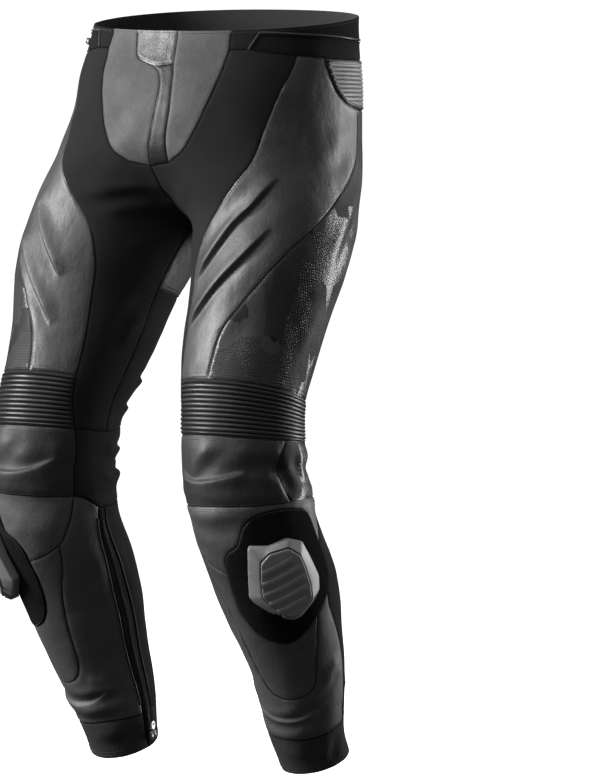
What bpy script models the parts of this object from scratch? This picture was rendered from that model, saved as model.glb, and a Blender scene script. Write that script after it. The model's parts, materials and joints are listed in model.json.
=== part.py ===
"""Motorcycle trousers standing filled out, with no wearer: 50 sewn and hard pieces.
Lengths in the tables are millimetres. The origin is the middle of the waist opening, the front faces -Y and +Z is up.
A point on the cloth is named by its bearing round the leg (0 outer side, -90 front, 90 back, 180 inseam) and its drop below the waist."""

import math

import bpy
import numpy as np
from mathutils import Vector
from mathutils.geometry import delaunay_2d_cdt

SECTION_COLUMNS = ("drop", "outer", "inner", "front", "back", "pitch", "square", "skew")
SECTIONS = (
    (0, 154, -154, -110, 110, 5, 2.2, 0.00),
    (30, 158, -157, -118, 107, 4, 2.2, 0.00),
    (60, 166, -158, -132, 108, 2, 2.2, 0.00),
    (98, 176, -145, -142, 111, 0, 2.2, 0.00),
    (134, 186, -116, -150, 109, -3, 2.2, 0.02),
    (171, 196, -78, -157, 102, -6, 2.2, 0.05),
    (208, 208, -30, -160, 77, -9, 2.15, 0.09),
    (244, 217, 12, -161, 48, -12, 2.1, 0.13),
    (299, 223, 27, -183, 15, -15, 2.05, 0.14),
    (335, 218, 35, -192, -10, -17, 2.0, 0.13),
    (390, 212, 43, -206, -38, -18, 2.0, 0.08),
    (445, 210, 55, -223, -70, -15, 2.0, 0.05),
    (464, 213, 63, -227, -78, -12, 2.0, 0.04),
    (537, 221, 70, -237, -84, 0, 2.0, 0.03),
    (610, 227, 77, -219, -67, 14, 2.0, 0.03),
    (659, 228, 78, -188, -38, 19, 2.0, 0.03),
    (720, 220, 84, -151, -13, 22, 2.0, 0.05),
    (775, 211, 93, -118, 1, 22, 2.0, 0.07),
    (830, 198, 94, -90, 14, 22, 2.0, 0.07),
    (866, 188, 97, -73, 18, 22, 2.0, 0.05),
    (885, 188, 102, -63, 23, 22, 2.0, 0.03),
    (895, 188, 103, -58, 28, 22, 2.0, 0.00),
)
HEM_DROP = 894.0
LEVEL_STEP = 3.0
SMOOTH_LEVELS = 10
JOIN_POWER = 6.0  # how sharply the two legs' tubes join into one
JOIN_REACH = 2 ** (1 / JOIN_POWER)
COLUMNS_PER_SIDE = 180

SEAM_STEP = 17.0
GRID_STEP = 22.0
HALF_GAP = 0.16  # each piece stops this short of its seam line
LEATHER = 2.0
STRETCH = 1.5


def smoothed_sections():
    """The table's rows every LEVEL_STEP, eased into each other, then at every level of the form."""
    table = np.array(SECTIONS, float)
    pad = SMOOTH_LEVELS * LEVEL_STEP
    reach = np.arange(-pad, HEM_DROP + pad + LEVEL_STEP / 2, LEVEL_STEP)
    window = np.hanning(2 * SMOOTH_LEVELS + 3)[1:-1]
    window /= window.sum()
    steps = np.arange(0, HEM_DROP + LEVEL_STEP / 2, LEVEL_STEP)
    columns = {}
    for i, name in enumerate(SECTION_COLUMNS[1:], start=1):
        start_slope = (table[1, i] - table[0, i]) / (table[1, 0] - table[0, 0])
        end_slope = (table[-1, i] - table[-3, i]) / (table[-1, 0] - table[-3, 0])
        values = np.interp(reach, table[:, 0], table[:, i])
        values = np.where(reach < table[0, 0], table[0, i] + (reach - table[0, 0]) * start_slope, values)
        values = np.where(reach > table[-1, 0], table[-1, i] + (reach - table[-1, 0]) * end_slope, values)
        columns[name] = np.convolve(values, window, mode="valid")
    return steps, columns


STEPS, COLUMNS = smoothed_sections()


def section(name, drop):
    return np.interp(drop, STEPS, COLUMNS[name])


def tube(drop):
    """mid, half width, half depth, squareness and skew of one leg's tube."""
    outer, inner = section("outer", drop), section("inner", drop)
    deep = (section("back", drop) - section("front", drop)) / 2
    return (outer + inner) / 2, (outer - inner) / 2, deep, section("square", drop), section("skew", drop)


def tube_share(x, y, drop):
    """1 on a tube's own outline and less inside it."""
    mid, half, deep, square, skew = tube(drop)
    across = np.abs(x + skew * y - mid) / half
    along = np.abs(y) / deep
    return (across**square + along**square + 1e-12) ** (1 / square)


def body_share(x, y, drop):
    own = tube_share(x, y, drop)
    other = tube_share(-x, y, drop)
    return (own**-JOIN_POWER + other**-JOIN_POWER) ** (-1 / JOIN_POWER)


def crotch_drop():
    low, high = 100.0, 400.0
    for _ in range(50):
        middle = (low + high) / 2
        if tube_share(0.0, 0.0, middle) < JOIN_REACH:
            low = middle
        else:
            high = middle
    return (low + high) / 2


CROTCH = crotch_drop()


def form_levels():
    near = CROTCH + np.array([-6.0, -4.0, -2.5, -1.5, -0.8, -0.35, -0.1, 0.0, 0.1, 0.35, 0.8, 1.5, 2.5, 4.0, 6.0])
    far = STEPS[np.abs(STEPS - CROTCH) > 7.0]
    return np.sort(np.concatenate([far, near]))


LEVELS = form_levels()


def centre_bearings():
    """The bearing of the centre front and of the centre back at each level, or the inseam's."""
    mid = tube(LEVELS)[0]
    deep = tube(LEVELS)[2]
    parted = LEVELS >= CROTCH - 1e-6
    ends = []
    for side in (-1, 1):
        low, high = np.zeros(len(LEVELS)), 3 * deep
        for _ in range(50):
            middle = (low + high) / 2
            inside = tube_share(0.0, side * middle, LEVELS) < JOIN_REACH
            low = np.where(inside, middle, low)
            high = np.where(inside, high, middle)
        bearing = np.degrees(np.arctan2(side * low, -np.maximum(mid, 0.001)))
        ends.append(np.where(parted, side * 180.0, bearing))
    return ends


FRONT_ENDS, BACK_ENDS = centre_bearings()


def form_points():
    """The wearer's left half: a row for each level, from centre front round the side to centre back."""
    share = np.linspace(-1, 1, 2 * COLUMNS_PER_SIDE + 1)
    level = LEVELS[:, None]
    bearing = np.where(share < 0, -share * FRONT_ENDS[:, None], share * BACK_ENDS[:, None])
    angle = np.radians(bearing)
    dx, dy = np.cos(angle), np.sin(angle)
    mid, half, deep = tube(level)[:3]
    centre = np.maximum(mid, 0.001)
    stop = np.where(dx < -1e-9, centre / np.maximum(-dx, 1e-9), 1e9)
    low = np.zeros(bearing.shape)
    high = np.minimum(3 * np.maximum(half, deep), stop)
    for _ in range(45):
        middle = (low + high) / 2
        inside = body_share(centre + middle * dx, middle * dy, level) < 1
        low = np.where(inside, middle, low)
        high = np.where(inside, high, middle)
    x, y = centre + low * dx, low * dy
    joined = LEVELS < CROTCH + 1e-6
    x[joined, 0] = 0
    x[joined, -1] = 0
    x = np.maximum(x, 0)
    return from_section(x, y, level)


def from_section(x, y, drop):
    pitch = np.radians(section("pitch", drop))
    middle = (section("front", drop) + section("back", drop)) / 2
    return np.stack([x, middle + y * np.cos(pitch), -drop + y * np.sin(pitch)], axis=-1)


POINTS = form_points()


def centre_front(drop):
    return np.interp(drop, LEVELS, FRONT_ENDS)


def centre_back(drop):
    return np.interp(drop, LEVELS, BACK_ENDS)


def place(bearing, drop):
    """The point on the form. Past a centre line it goes on round the other half, and past the inseam round the leg."""
    bearing, drop = np.broadcast_arrays(np.asarray(bearing, float), np.asarray(drop, float))
    front, back = centre_front(drop), centre_back(drop)
    joined = drop < CROTCH
    over_front = bearing < front
    over_back = bearing > back
    turned = np.where(over_front, bearing + 360, np.where(over_back, bearing - 360, bearing))
    folded = np.where(over_front, 2 * front - bearing, np.where(over_back, 2 * back - bearing, bearing))
    inside = np.where(joined, folded, turned)
    flip = np.where(joined & (over_front | over_back), -1.0, 1.0)
    j = np.clip(np.searchsorted(LEVELS, drop, side="right") - 1, 0, len(LEVELS) - 2)
    down = np.clip((drop - LEVELS[j]) / (LEVELS[j + 1] - LEVELS[j]), 0, 1)[..., None]
    share = np.clip(np.where(inside < 0, -inside / front, inside / back), -1, 1)
    column = (share + 1) * COLUMNS_PER_SIDE
    i = np.clip(column.astype(int), 0, 2 * COLUMNS_PER_SIDE - 1)
    along = (column - i)[..., None]
    upper = POINTS[j, i] * (1 - along) + POINTS[j, i + 1] * along
    lower = POINTS[j + 1, i] * (1 - along) + POINTS[j + 1, i + 1] * along
    found = upper * (1 - down) + lower * down
    found[..., 0] *= flip
    return found


def outward(points, drop):
    """Unit normals of the form at points on it, from the slope of body_share there."""
    drop = np.asarray(drop, float)
    pitch = np.radians(section("pitch", drop))
    middle = (section("front", drop) + section("back", drop)) / 2
    x = points[..., 0]
    y = (points[..., 1] - middle) / np.cos(pitch)
    slope_x = body_share(x + 0.4, y, drop) - body_share(x - 0.4, y, drop)
    slope_y = body_share(x, y + 0.4, drop) - body_share(x, y - 0.4, drop)
    low = np.clip(drop - 1.5, 0, HEM_DROP)
    high = np.clip(drop + 1.5, 0, HEM_DROP)
    slope_d = (body_share(x, y, high) - body_share(x, y, low)) * 0.8 / (high - low)
    step_d = (from_section(x, y, high) - from_section(x, y, low)) / (high - low)[..., None]
    # The three slopes are along x, along the section's own y and down the levels.
    frame = np.zeros(points.shape[:-1] + (3, 3))
    frame[..., 0, 0] = 1
    frame[..., 1, 1] = np.cos(pitch)
    frame[..., 1, 2] = np.sin(pitch)
    frame[..., 2, :] = step_d
    slopes = np.stack([slope_x, slope_y, slope_d], axis=-1)
    normal = np.linalg.solve(frame, slopes[..., None])[..., 0]
    return normal / np.linalg.norm(normal, axis=-1, keepdims=True)


FLY_FOOT = (float(centre_front(189.0)), 189.0)
BAND_BACK = (float(centre_back(38.0)), 38.0)
SEAT_BACK = (float(centre_back(59.0)), 59.0)


def to_flat(bearing, drop):
    """A flat map of the cloth for cutting it into triangles, in about millimetres."""
    girth = section("outer", drop) - np.maximum(section("inner", drop), -section("outer", drop))
    depth = section("back", drop) - section("front", drop)
    return np.stack([np.radians(bearing) * (girth + depth) / 4, -drop], axis=-1)


# Seams of the wearer's left half, as bearing and drop.
SEAMS = {
    "yoke_top": ((-81, 0), (-51, 0)),
    "yoke_top_other": ((-69.5, 0), (-51, 0)),
    "knit_top": ((-51, 0), (20, 0), (90, 0)),
    "tab_top": ((-110.5, 0), (-81, 0)),
    "tab_yoke": ((-81, 0), (-81, 42)),
    "fly_yoke": ((-81, 42), (-81, 67), (-86.5, 110), (-99.5, 160), (-107.5, 184)),
    "tab_fly": ((-100, 41), (-92, 45), (-81, 42)),
    "tab_other": ((-110.5, 0), (-108, 28), (-105, 36), (-100, 41)),
    "fly_other": ((-100, 41), (-93, 47), (-89.5, 56), (-89, 72), (-91, 89), (-95, 110), (-103, 141), (-113, 170)),
    "fly_foot": ((-113, 170), FLY_FOOT),
    "fly_end": ((-107.5, 184), FLY_FOOT),
    "yoke_knit": ((-51, 0), (-51, 25)),
    "yoke_stretch": ((-51, 25), (-53.5, 48), (-57, 68), (-63.5, 95), (-75, 131), (-91, 166), (-107.5, 184)),
    "knit_stretch": ((-51, 25), (-42, 25)),
    "knit_end": ((-42, 25), (-38, 5)),
    "knit_zip": ((-38, 5), (-27, 8), (-4.5, 17), (14, 26), (45, 34), BAND_BACK),
    "zip_stretch": ((-42, 25), (-22, 35)),
    "zip_thigh": ((-22, 35), (-10, 41)),
    "zip_hip": ((-10, 41), (20, 50), (50, 56)),
    "zip_seat": ((50, 56), SEAT_BACK),
    "stretch_thigh": (
        (-22, 35), (-24, 52), (-29, 76), (-39, 122), (-54, 175), (-73, 212), (-97, 249),
        (-110, 272), (-119, 297), (-125, 325), (-129, 375), (-132, 412), (-134, 441),
    ),
    "thigh_hip": ((-10, 41), (-7, 62), (-2.5, 84), (5, 99), (16, 106)),
    "hip_outer": ((16, 106), (30, 108), (44, 104)),
    "hip_seat": ((44, 104), (52, 95), (55, 80), (53.5, 67), (50, 56)),
    "thigh_outer": (
        (16, 106), (16, 150), (9, 180), (-3.6, 206), (-19, 236), (-34, 269), (-46, 300),
        (-56, 330), (-69, 364), (-79, 390), (-85, 415), (-89, 441),
    ),
    "outer_seat": ((44, 104), (54, 160), (60, 230), (62, 300)),
    "outer_back": ((62, 300), (60, 350), (54, 400), (48, 441)),
    "seat_back": ((62, 300), (95, 312), (135, 322), (180, 326)),
    "thigh_ribs": ((-134, 441), (-89, 441)),
    "outer_ribs": ((-89, 441), (-30, 441), (30, 441)),
    "outer_bend": ((30, 441), (48, 441)),
    "stretch_ribs": ((-134, 441), (-138, 466), (-145, 497)),
    "ribs_end": ((30, 441), (37, 448), (40, 459), (40, 480), (37, 490), (30, 497)),
    "ribs_knee": ((-145, 497), (-80, 497), (-12, 497)),
    "ribs_side": ((-12, 497), (30, 497)),
    "stretch_bend": ((-180, 497), (-145, 497)),
    "back_bend": ((48, 441), (80, 455), (120, 478), (150, 490), (180, 497)),
    "knee_side": ((-12, 497), (-20, 516), (-20.5, 540), (-14, 566)),
    "side_bend": ((30, 497), (36, 530), (42, 572)),
    "knee_bend": ((-145, 497), (-149.5, 522), (-148, 546), (-147, 570)),
    "knee_cup": ((-147, 570), (-80, 566), (-14, 566)),
    "side_cup": ((-14, 566), (15, 567), (42, 572)),
    "bend_shin": ((-172, 588), (-158.5, 575), (-147, 570)),
    "bend_zip": ((-180, 590), (-172, 588)),
    "bend_calf": ((42, 572), (75, 580), (110, 588), (150, 592), (180, 590)),
    "cup_shin": ((-147, 570), (-141, 595), (-132, 613), (-126, 620)),
    "cup_front": ((-126, 620), (-109, 629), (-92, 635)),
    "cup_calf": ((14, 624), (28, 606), (42, 572)),
    "pad_cup": (
        (14, 624), (12, 598), (5, 581), (-12, 573), (-36, 572), (-52, 576), (-63, 586),
        (-72, 604), (-83, 611), (-90, 622), (-92, 635),
    ),
    "pad_front": (
        (-92, 635), (-94, 655), (-92, 682), (-84, 703), (-69, 716), (-52, 721), (-35, 713), (-18, 699),
    ),
    "pad_shin": ((-18, 699), (1, 682)),
    "pad_calf": ((1, 682), (11, 658), (14, 624)),
    "front_shin": (
        (-126, 620), (-123, 640), (-113, 674), (-106, 715), (-104, 752), (-99, 776), (-88, 788), (-72, 793),
        (-56, 793), (-43, 788), (-35, 776), (-29, 745), (-18, 699),
    ),
    "shin_calf": ((1, 682), (1, 702), (8, 730), (14, 766), (15, 792), (14, 849)),
    "shin_zip": ((-172, 588), (-166, 645), (-163, 700), (-164, 774), (-167, 827), (-168, 849)),
    "calf_zip": ((-180, 590), (-180, 640), (-181, 700), (-183, 760), (-185, 820), (-186, 849)),
    "shin_cuff": ((-168, 849), (-110, 846), (-45, 850), (14, 849)),
    "calf_cuff": ((14, 849), (90, 849), (174, 849)),
    "cuff_zip": ((-168, 849), (-171, 894)),
    "zip_cuff": ((-186, 849), (-188, 894)),
    "zip_hem": ((-188, 894), (-171, 894)),
    "cuff_hem": ((-171, 894), (-90, 894), (0, 894), (90, 894), (172, 894)),
}
# Seams on the plane x = 0 or down the inseam, as the drops they run between.
CENTRE_SEAMS = {
    "front_top": ("front", 189.0, CROTCH),
    "back_top": ("back", 59.0, CROTCH),
    "inseam_upper": ("front", CROTCH, 326.0),
    "inseam_lower": ("front", 326.0, 497.0),
}
FINE_SEAMS = {
    "ribs_end": 8.0, "hip_seat": 12.0, "pad_cup": 12.0, "pad_front": 12.0, "pad_calf": 12.0, "knee_side": 14.0,
    "tab_other": 10.0, "fly_other": 14.0, "shin_cuff": 12.0, "calf_cuff": 12.0, "cuff_hem": 12.0, "knit_end": 9.0,
}


def eased(points, count=24):
    """A Catmull-Rom curve through the points, as a dense polyline."""
    points = np.array(points, float)
    if len(points) == 2:
        share = np.linspace(0, 1, count)[:, None]
        return points[0] * (1 - share) + points[1] * share
    padded = np.vstack([2 * points[0] - points[1], points, 2 * points[-1] - points[-2]])
    pieces = []
    for a, b, c, d in zip(padded, padded[1:], padded[2:], padded[3:]):
        t = np.linspace(0, 1, count, endpoint=False)[:, None]
        pieces.append(b + 0.5 * t * (c - a + t * (2 * a - 5 * b + 4 * c - d + t * (3 * (b - c) + d - a))))
    pieces.append(points[-1:])
    return np.vstack(pieces)


def evenly(pattern, step):
    """Points at even distances along a dense polyline of the cloth, ends kept."""
    placed = place(pattern[:, 0], pattern[:, 1])
    run = np.concatenate([[0], np.cumsum(np.linalg.norm(np.diff(placed, axis=0), axis=1))])
    count = max(1, round(run[-1] / step))
    want = np.linspace(0, run[-1], count + 1)
    return np.stack([np.interp(want, run, pattern[:, 0]), np.interp(want, run, pattern[:, 1])], axis=1)


def centre_curve(kind, start, end):
    """Along a centre line the bearing follows it, with many levels near the crotch."""
    drops = np.unique(np.concatenate([[start, end], LEVELS[(LEVELS > start) & (LEVELS < end)]]))
    bearing = centre_front(drops) if kind == "front" else centre_back(drops)
    if start >= CROTCH - 1e-6:
        bearing = np.full(drops.shape, -180.0 if kind == "front" else 180.0)
    return np.stack([bearing, drops], axis=1)


def all_seams():
    sampled = {}
    for name, points in SEAMS.items():
        dense = eased(points)
        dense[0], dense[-1] = points[0], points[-1]
        sampled[name] = evenly(dense, FINE_SEAMS.get(name, SEAM_STEP))
    for name, (kind, start, end) in CENTRE_SEAMS.items():
        sampled[name] = evenly(centre_curve(kind, start, end), SEAM_STEP)
    return sampled


SAMPLED = all_seams()


def across_front(points):
    """The same points named from the other half, past the centre front."""
    return np.stack([2 * centre_front(points[:, 1]) - points[:, 0], points[:, 1]], axis=1)


def across_back(points):
    return np.stack([2 * centre_back(points[:, 1]) - points[:, 0], points[:, 1]], axis=1)


def round_inseam(points, turn):
    return points + np.array([turn, 0.0])


def run_of(entry):
    """An entry of an outline: a seam's name, with - to run it backwards and a last letter for how it is renamed."""
    name, _, how = entry.lstrip("-").partition(":")
    points = SAMPLED[name]
    if how == "front":
        points = across_front(points)
    elif how == "back":
        points = across_back(points)
    elif how == "turn":
        points = round_inseam(points, 360.0)
    elif how == "unturn":
        points = round_inseam(points, -360.0)
    return points[::-1] if entry.startswith("-") else points


def outline_of(entries):
    """The closed outline, each junction once."""
    points = []
    for entry in entries:
        run = run_of(entry)
        if points:
            gap = np.abs(run[0] - points[-1])
            if gap.max() > 0.6:
                raise ValueError(f"{entry} starts {gap} away from the seam before it")
        points.extend(run if not points else run[1:])
    points = np.array(points)
    if np.abs(points[0] - points[-1]).max() > 0.6:
        raise ValueError(f"{entries} doesn't close: {points[0]} {points[-1]}")
    points = points[:-1]
    flat = to_flat(points[:, 0], points[:, 1])
    ahead = np.roll(flat, -1, axis=0)
    if (flat[:, 0] * ahead[:, 1] - flat[:, 1] * ahead[:, 0]).sum() < 0:
        points = points[::-1]
    return points


def inset_points(outline, gap):
    """The outline's points on the form, each moved in from the edge by the gap along the cloth."""
    placed = place(outline[:, 0], outline[:, 1])
    normals = outward(placed, outline[:, 1])
    before = np.roll(placed, 1, axis=0) - placed
    after = np.roll(placed, -1, axis=0) - placed
    inward_before = np.cross(normals, -before)
    inward_after = np.cross(normals, after)
    inward_before /= np.linalg.norm(inward_before, axis=1, keepdims=True)
    inward_after /= np.linalg.norm(inward_after, axis=1, keepdims=True)
    between = inward_before + inward_after
    between /= np.linalg.norm(between, axis=1, keepdims=True)
    widen = 1 / np.clip((between * inward_after).sum(axis=1), 0.45, 1)
    return placed + between * (gap * widen)[:, None], normals


def inside_polygon(points, polygon):
    x, y = points[:, 0][:, None], points[:, 1][:, None]
    x1, y1 = polygon[:, 0][None, :], polygon[:, 1][None, :]
    x2, y2 = np.roll(polygon[:, 0], -1)[None, :], np.roll(polygon[:, 1], -1)[None, :]
    crosses = (y1 > y) != (y2 > y)
    at = x1 + (y - y1) * (x2 - x1) / np.where(np.abs(y2 - y1) < 1e-12, 1e-12, y2 - y1)
    return ((x < at) & crosses).sum(axis=1) % 2 == 1


def clear_of(points, polyline, closed, distance):
    if len(points) == 0:
        return np.zeros(0, bool)
    starts = polyline if closed else polyline[:-1]
    ends = np.roll(polyline, -1, axis=0) if closed else polyline[1:]
    edge = ends - starts
    length = np.maximum((edge**2).sum(axis=1), 1e-9)
    share = ((points[:, None] - starts[None]) * edge[None]).sum(axis=2) / length
    nearest = starts[None] + np.clip(share, 0, 1)[..., None] * edge[None]
    return (((points[:, None] - nearest) ** 2).sum(axis=2) > distance**2).all(axis=1)


def grid_points(outline, lines, step):
    """Rows of points inside the outline, as bearing and drop, kept off its edge and off the lines."""
    flat = to_flat(outline[:, 0], outline[:, 1])
    rows = []
    start = outline[:, 1].min()
    count = max(1, round((outline[:, 1].max() - start) / step))
    for k in range(1, count):
        drop = start + (outline[:, 1].max() - start) * k / count
        scale = to_flat(np.array([1.0]), np.array([drop]))[0, 0]
        first, last = outline[:, 0].min() * scale, outline[:, 0].max() * scale
        across = np.arange(first + step / 2 * (1 + k % 2), last, step) / scale
        rows.append(np.stack([across, np.full(across.shape, drop)], axis=1))
    if not rows:
        return np.zeros((0, 2))
    points = np.vstack(rows)
    spot = to_flat(points[:, 0], points[:, 1])
    keep = inside_polygon(spot, flat) & clear_of(spot, flat, True, 0.5 * step)
    for line in lines:
        keep &= clear_of(spot, to_flat(line[:, 0], line[:, 1]), False, 0.42 * step)
    return points[keep]


def cut_triangles(outline, lines, inner_points):
    """Triangles over the outline, with every line kept as edges. The outline's points come first."""
    pattern = [outline]
    edges = [(i, (i + 1) % len(outline)) for i in range(len(outline))]
    total = len(outline)
    for line in lines:
        pattern.append(line)
        edges.extend((total + i, total + i + 1) for i in range(len(line) - 1))
        total += len(line)
    pattern.append(inner_points)
    pattern = np.vstack(pattern)
    flat = to_flat(pattern[:, 0], pattern[:, 1])
    found = delaunay_2d_cdt([Vector(p) for p in flat], edges, [], 1, 1e-4)
    if len(found[0]) != len(pattern):
        raise ValueError(f"{len(found[0])} points from {len(pattern)}: two lines cross or touch")
    order = {}
    for new, olds in enumerate(found[3]):
        order[new] = olds[0]
    triangles = np.array([[order[i] for i in face] for face in found[2]])
    a, b, c = flat[triangles[:, 0]], flat[triangles[:, 1]], flat[triangles[:, 2]]
    turned = (b[:, 0] - a[:, 0]) * (c[:, 1] - a[:, 1]) - (b[:, 1] - a[:, 1]) * (c[:, 0] - a[:, 0])
    triangles[turned < 0] = triangles[turned < 0][:, ::-1]
    return pattern, triangles


def closed_over(outer, inner, triangles, rim):
    """Points and faces of a closed piece: the outer side, the inner side turned round, and a wall round the rim."""
    count = len(outer)
    faces = [tuple(t) for t in triangles]
    faces += [(t[2] + count, t[1] + count, t[0] + count) for t in triangles]
    for i in range(len(rim)):
        a, b = rim[i], rim[(i + 1) % len(rim)]
        faces.append((a, a + count, b + count, b))
    return np.vstack([outer, inner]), faces


LOOKS = {
    "leather": ((0.030, 0.030, 0.031, 1), 0.5, 0.0),
    "grey_leather": ((0.13, 0.13, 0.13, 1), 0.55, 0.0),
    "ribbed_leather": ((0.026, 0.026, 0.027, 1), 0.45, 0.0),
    "hip_leather": ((0.08, 0.08, 0.08, 1), 0.4, 0.0),
    "perforated_leather": ((0.028, 0.028, 0.029, 1), 0.35, 0.0),
    "stretch": ((0.035, 0.035, 0.036, 1), 0.9, 0.0),
    "knit": ((0.05, 0.05, 0.052, 1), 0.9, 0.0),
    "elastic": ((0.016, 0.016, 0.017, 1), 0.85, 0.0),
    "zip_tape": ((0.02, 0.02, 0.02, 1), 0.7, 0.0),
    "hook_and_loop": ((0.008, 0.008, 0.008, 1), 0.95, 0.0),
    "slider_plastic": ((0.09, 0.09, 0.09, 1), 0.3, 0.0),
    "face_plastic": ((0.035, 0.035, 0.036, 1), 0.4, 0.0),
    "zip_metal": ((0.55, 0.55, 0.56, 1), 0.3, 1.0),
}
LOOK_OF = {
    "yoke": "grey_leather", "waist_tab": "grey_leather", "waistband": "knit", "stretch": "stretch", "thigh_back": "stretch",
    "hip_ribs": "hip_leather", "knee_ribs": "ribbed_leather", "outer_thigh": "perforated_leather",
    "knee_outer": "perforated_leather", "knee_back": "stretch", "knee_slider": "slider_plastic", "calf_zip": "zip_tape",
    "calf_slider": "zip_metal", "calf_pull": "zip_metal", "calf": "stretch", "cuff": "elastic", "slider_pad": "hook_and_loop",
    "slider_face": "face_plastic", "connector_band": "zip_tape", "connector": "zip_metal",
}


def look_of(name):
    found = [key for key in LOOK_OF if name.startswith(key)]
    return LOOK_OF[max(found, key=len)] if found else "leather"


def material_of(look):
    if look in bpy.data.materials:
        return bpy.data.materials[look]
    colour, roughness, metallic = LOOKS[look]
    material = bpy.data.materials.new(look)
    material.use_nodes = True
    shader = material.node_tree.nodes["Principled BSDF"]
    shader.inputs["Base Color"].default_value = colour
    shader.inputs["Roughness"].default_value = roughness
    shader.inputs["Metallic"].default_value = metallic
    return material


def add_piece(name, points, faces, mirrored=False, origin=None):
    """A named object with its own material, its origin in its middle or on its hinge, parented to the garment's empty."""
    if mirrored:
        points = points * np.array([-1.0, 1.0, 1.0])
        faces = [tuple(reversed(face)) for face in faces]
    used = sorted({i for face in faces for i in face})
    renumber = {old: new for new, old in enumerate(used)}
    kept = points[used]
    if origin is None:
        origin = (kept.min(axis=0) + kept.max(axis=0)) / 2
    mesh = bpy.data.meshes.new(name)
    mesh.from_pydata([tuple((p - origin) / 1000) for p in kept], [], [[renumber[i] for i in f] for f in faces])
    mesh.validate()
    mesh.shade_smooth()
    mesh.set_sharp_from_angle(angle=math.radians(40))
    mesh.materials.append(material_of(look_of(name)))
    piece = bpy.data.objects.new(name, mesh)
    piece.location = tuple(np.asarray(origin) / 1000)
    piece.parent = bpy.data.objects["garment"]
    bpy.context.scene.collection.objects.link(piece)
    triangulate = piece.modifiers.new("Triangles", "TRIANGULATE")
    triangulate.show_render = triangulate.show_viewport
    return piece


def panel(name, entries, wall, raise_by=None, lines=(), step=GRID_STEP, mirrored=False):
    """One cut piece of cloth. Its inside is plain, and raise_by lifts its outer points."""
    outline = outline_of(entries)
    lines = [np.array(line, float) for line in lines]
    pattern, triangles = cut_triangles(outline, lines, grid_points(outline, lines, step))
    placed = place(pattern[:, 0], pattern[:, 1])
    normals = outward(placed, pattern[:, 1])
    edge, _ = inset_points(outline, HALF_GAP)
    placed[: len(outline)] = edge
    lift = np.zeros(len(pattern))
    if raise_by is not None:
        lift = raise_by(pattern)
        lift[: len(outline)] = 0
    outer = placed + normals * lift[:, None]
    inner = placed - normals * wall
    points, faces = closed_over(outer, inner, triangles, list(range(len(outline))))
    return add_piece(name, points, faces, mirrored)


# Pressed folds of the thigh leather and the knee, wearer's left and right: height, then bearing and drop along the crest.
FOLDS = {
    "thigh_L": (
        (4.0, ((-45, 196), (-65, 234), (-81, 261), (-93, 286), (-108, 314), (-118, 328))),
        (4.0, ((-56, 262), (-66, 289), (-80, 317), (-94, 341), (-110, 366), (-124, 385))),
    ),
    "thigh_R": (
        (4.0, ((-52, 222), (-64, 256), (-78, 289), (-89, 313), (-98, 334))),
        (4.0, ((-50, 272), (-60, 303), (-72, 336), (-84, 361), (-99, 391))),
    ),
    "knee_L": ((2.5, ((-135, 536), (-112, 543), (-84, 541), (-52, 533))),),
    "knee_R": ((2.5, ((-130, 530), (-105, 541), (-76, 544), (-44, 538))),),
    "seat": ((3.0, ((74, 236), (100, 262), (134, 279))),),
    "thigh_back": ((3.0, ((84, 400), (112, 418), (150, 425))), (3.0, ((76, 434), (110, 450), (150, 463)))),
    "knee_back": ((3.0, ((62, 492), (108, 512), (160, 520))), (3.0, ((66, 538), (112, 552), (176, 556)))),
    "shin": ((2.5, ((-128, 808), (-100, 820), (-66, 823), (-34, 815))),),
    "calf": ((2.5, ((40, 812), (80, 822), (130, 818))),),
}
CREST_STEP = 24.0
FOOT = 8.0  # from a crest to the bottom of its steep side
SLOPE = 15.0  # the spread of its gentle side


def crest_of(points):
    return evenly(eased(points, 12), CREST_STEP)


def foot_of(points, side=1.0):
    """The line a step down the steep side of a crest."""
    crest = crest_of(points)
    flat = to_flat(crest[:, 0], crest[:, 1])
    along = np.gradient(flat, axis=0)
    along /= np.linalg.norm(along, axis=1, keepdims=True)
    moved = flat + side * FOOT * np.stack([-along[:, 1], along[:, 0]], axis=1)
    scale = to_flat(np.ones(len(crest)), crest[:, 1])[:, 0]
    return np.stack([moved[:, 0] / scale, -moved[:, 1]], axis=1)


def fold_lines(name, side=1.0):
    lines = []
    for _, points in FOLDS[name]:
        lines.append(crest_of(points))
        lines.append(foot_of(points, side))
    return lines


def fold_lift(name, side=1.0):
    """The lift of a point by its distance from each crest, steep on one side and gentle on the other."""
    crests = []
    for height, points in FOLDS[name]:
        crest = evenly(eased(points, 12), 4.0)
        crests.append((height, to_flat(crest[:, 0], crest[:, 1])))

    def lift(pattern):
        spot = to_flat(pattern[:, 0], pattern[:, 1])
        total = np.zeros(len(spot))
        for height, crest in crests:
            apart = np.linalg.norm(spot[:, None] - crest[None], axis=2)
            nearest = apart.argmin(axis=1)
            distance = apart.min(axis=1)
            along = np.gradient(crest, axis=0)[nearest]
            offset = spot - crest[nearest]
            turned = side * (along[:, 0] * offset[:, 1] - along[:, 1] * offset[:, 0])
            gentle = np.exp(-((distance / SLOPE) ** 2))
            steep = np.clip(1 - distance / (FOOT * 0.95), 0, 1)
            ends = np.clip(np.minimum(nearest, len(crest) - 1 - nearest) / 5, 0.25, 1)
            total = np.maximum(total, height * ends * np.where(turned > 0, steep, gentle))
        return total

    return lift


KNEE_RIBS = 12
HIP_RIBS = 12


def rib_share(pattern, top, bottom):
    """0 at the panel's top seam and 1 at its bottom one."""
    high = np.interp(pattern[:, 0], top[0], top[1])
    low = np.interp(pattern[:, 0], bottom[0], bottom[1])
    return (pattern[:, 1] - high) / (low - high)


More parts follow.
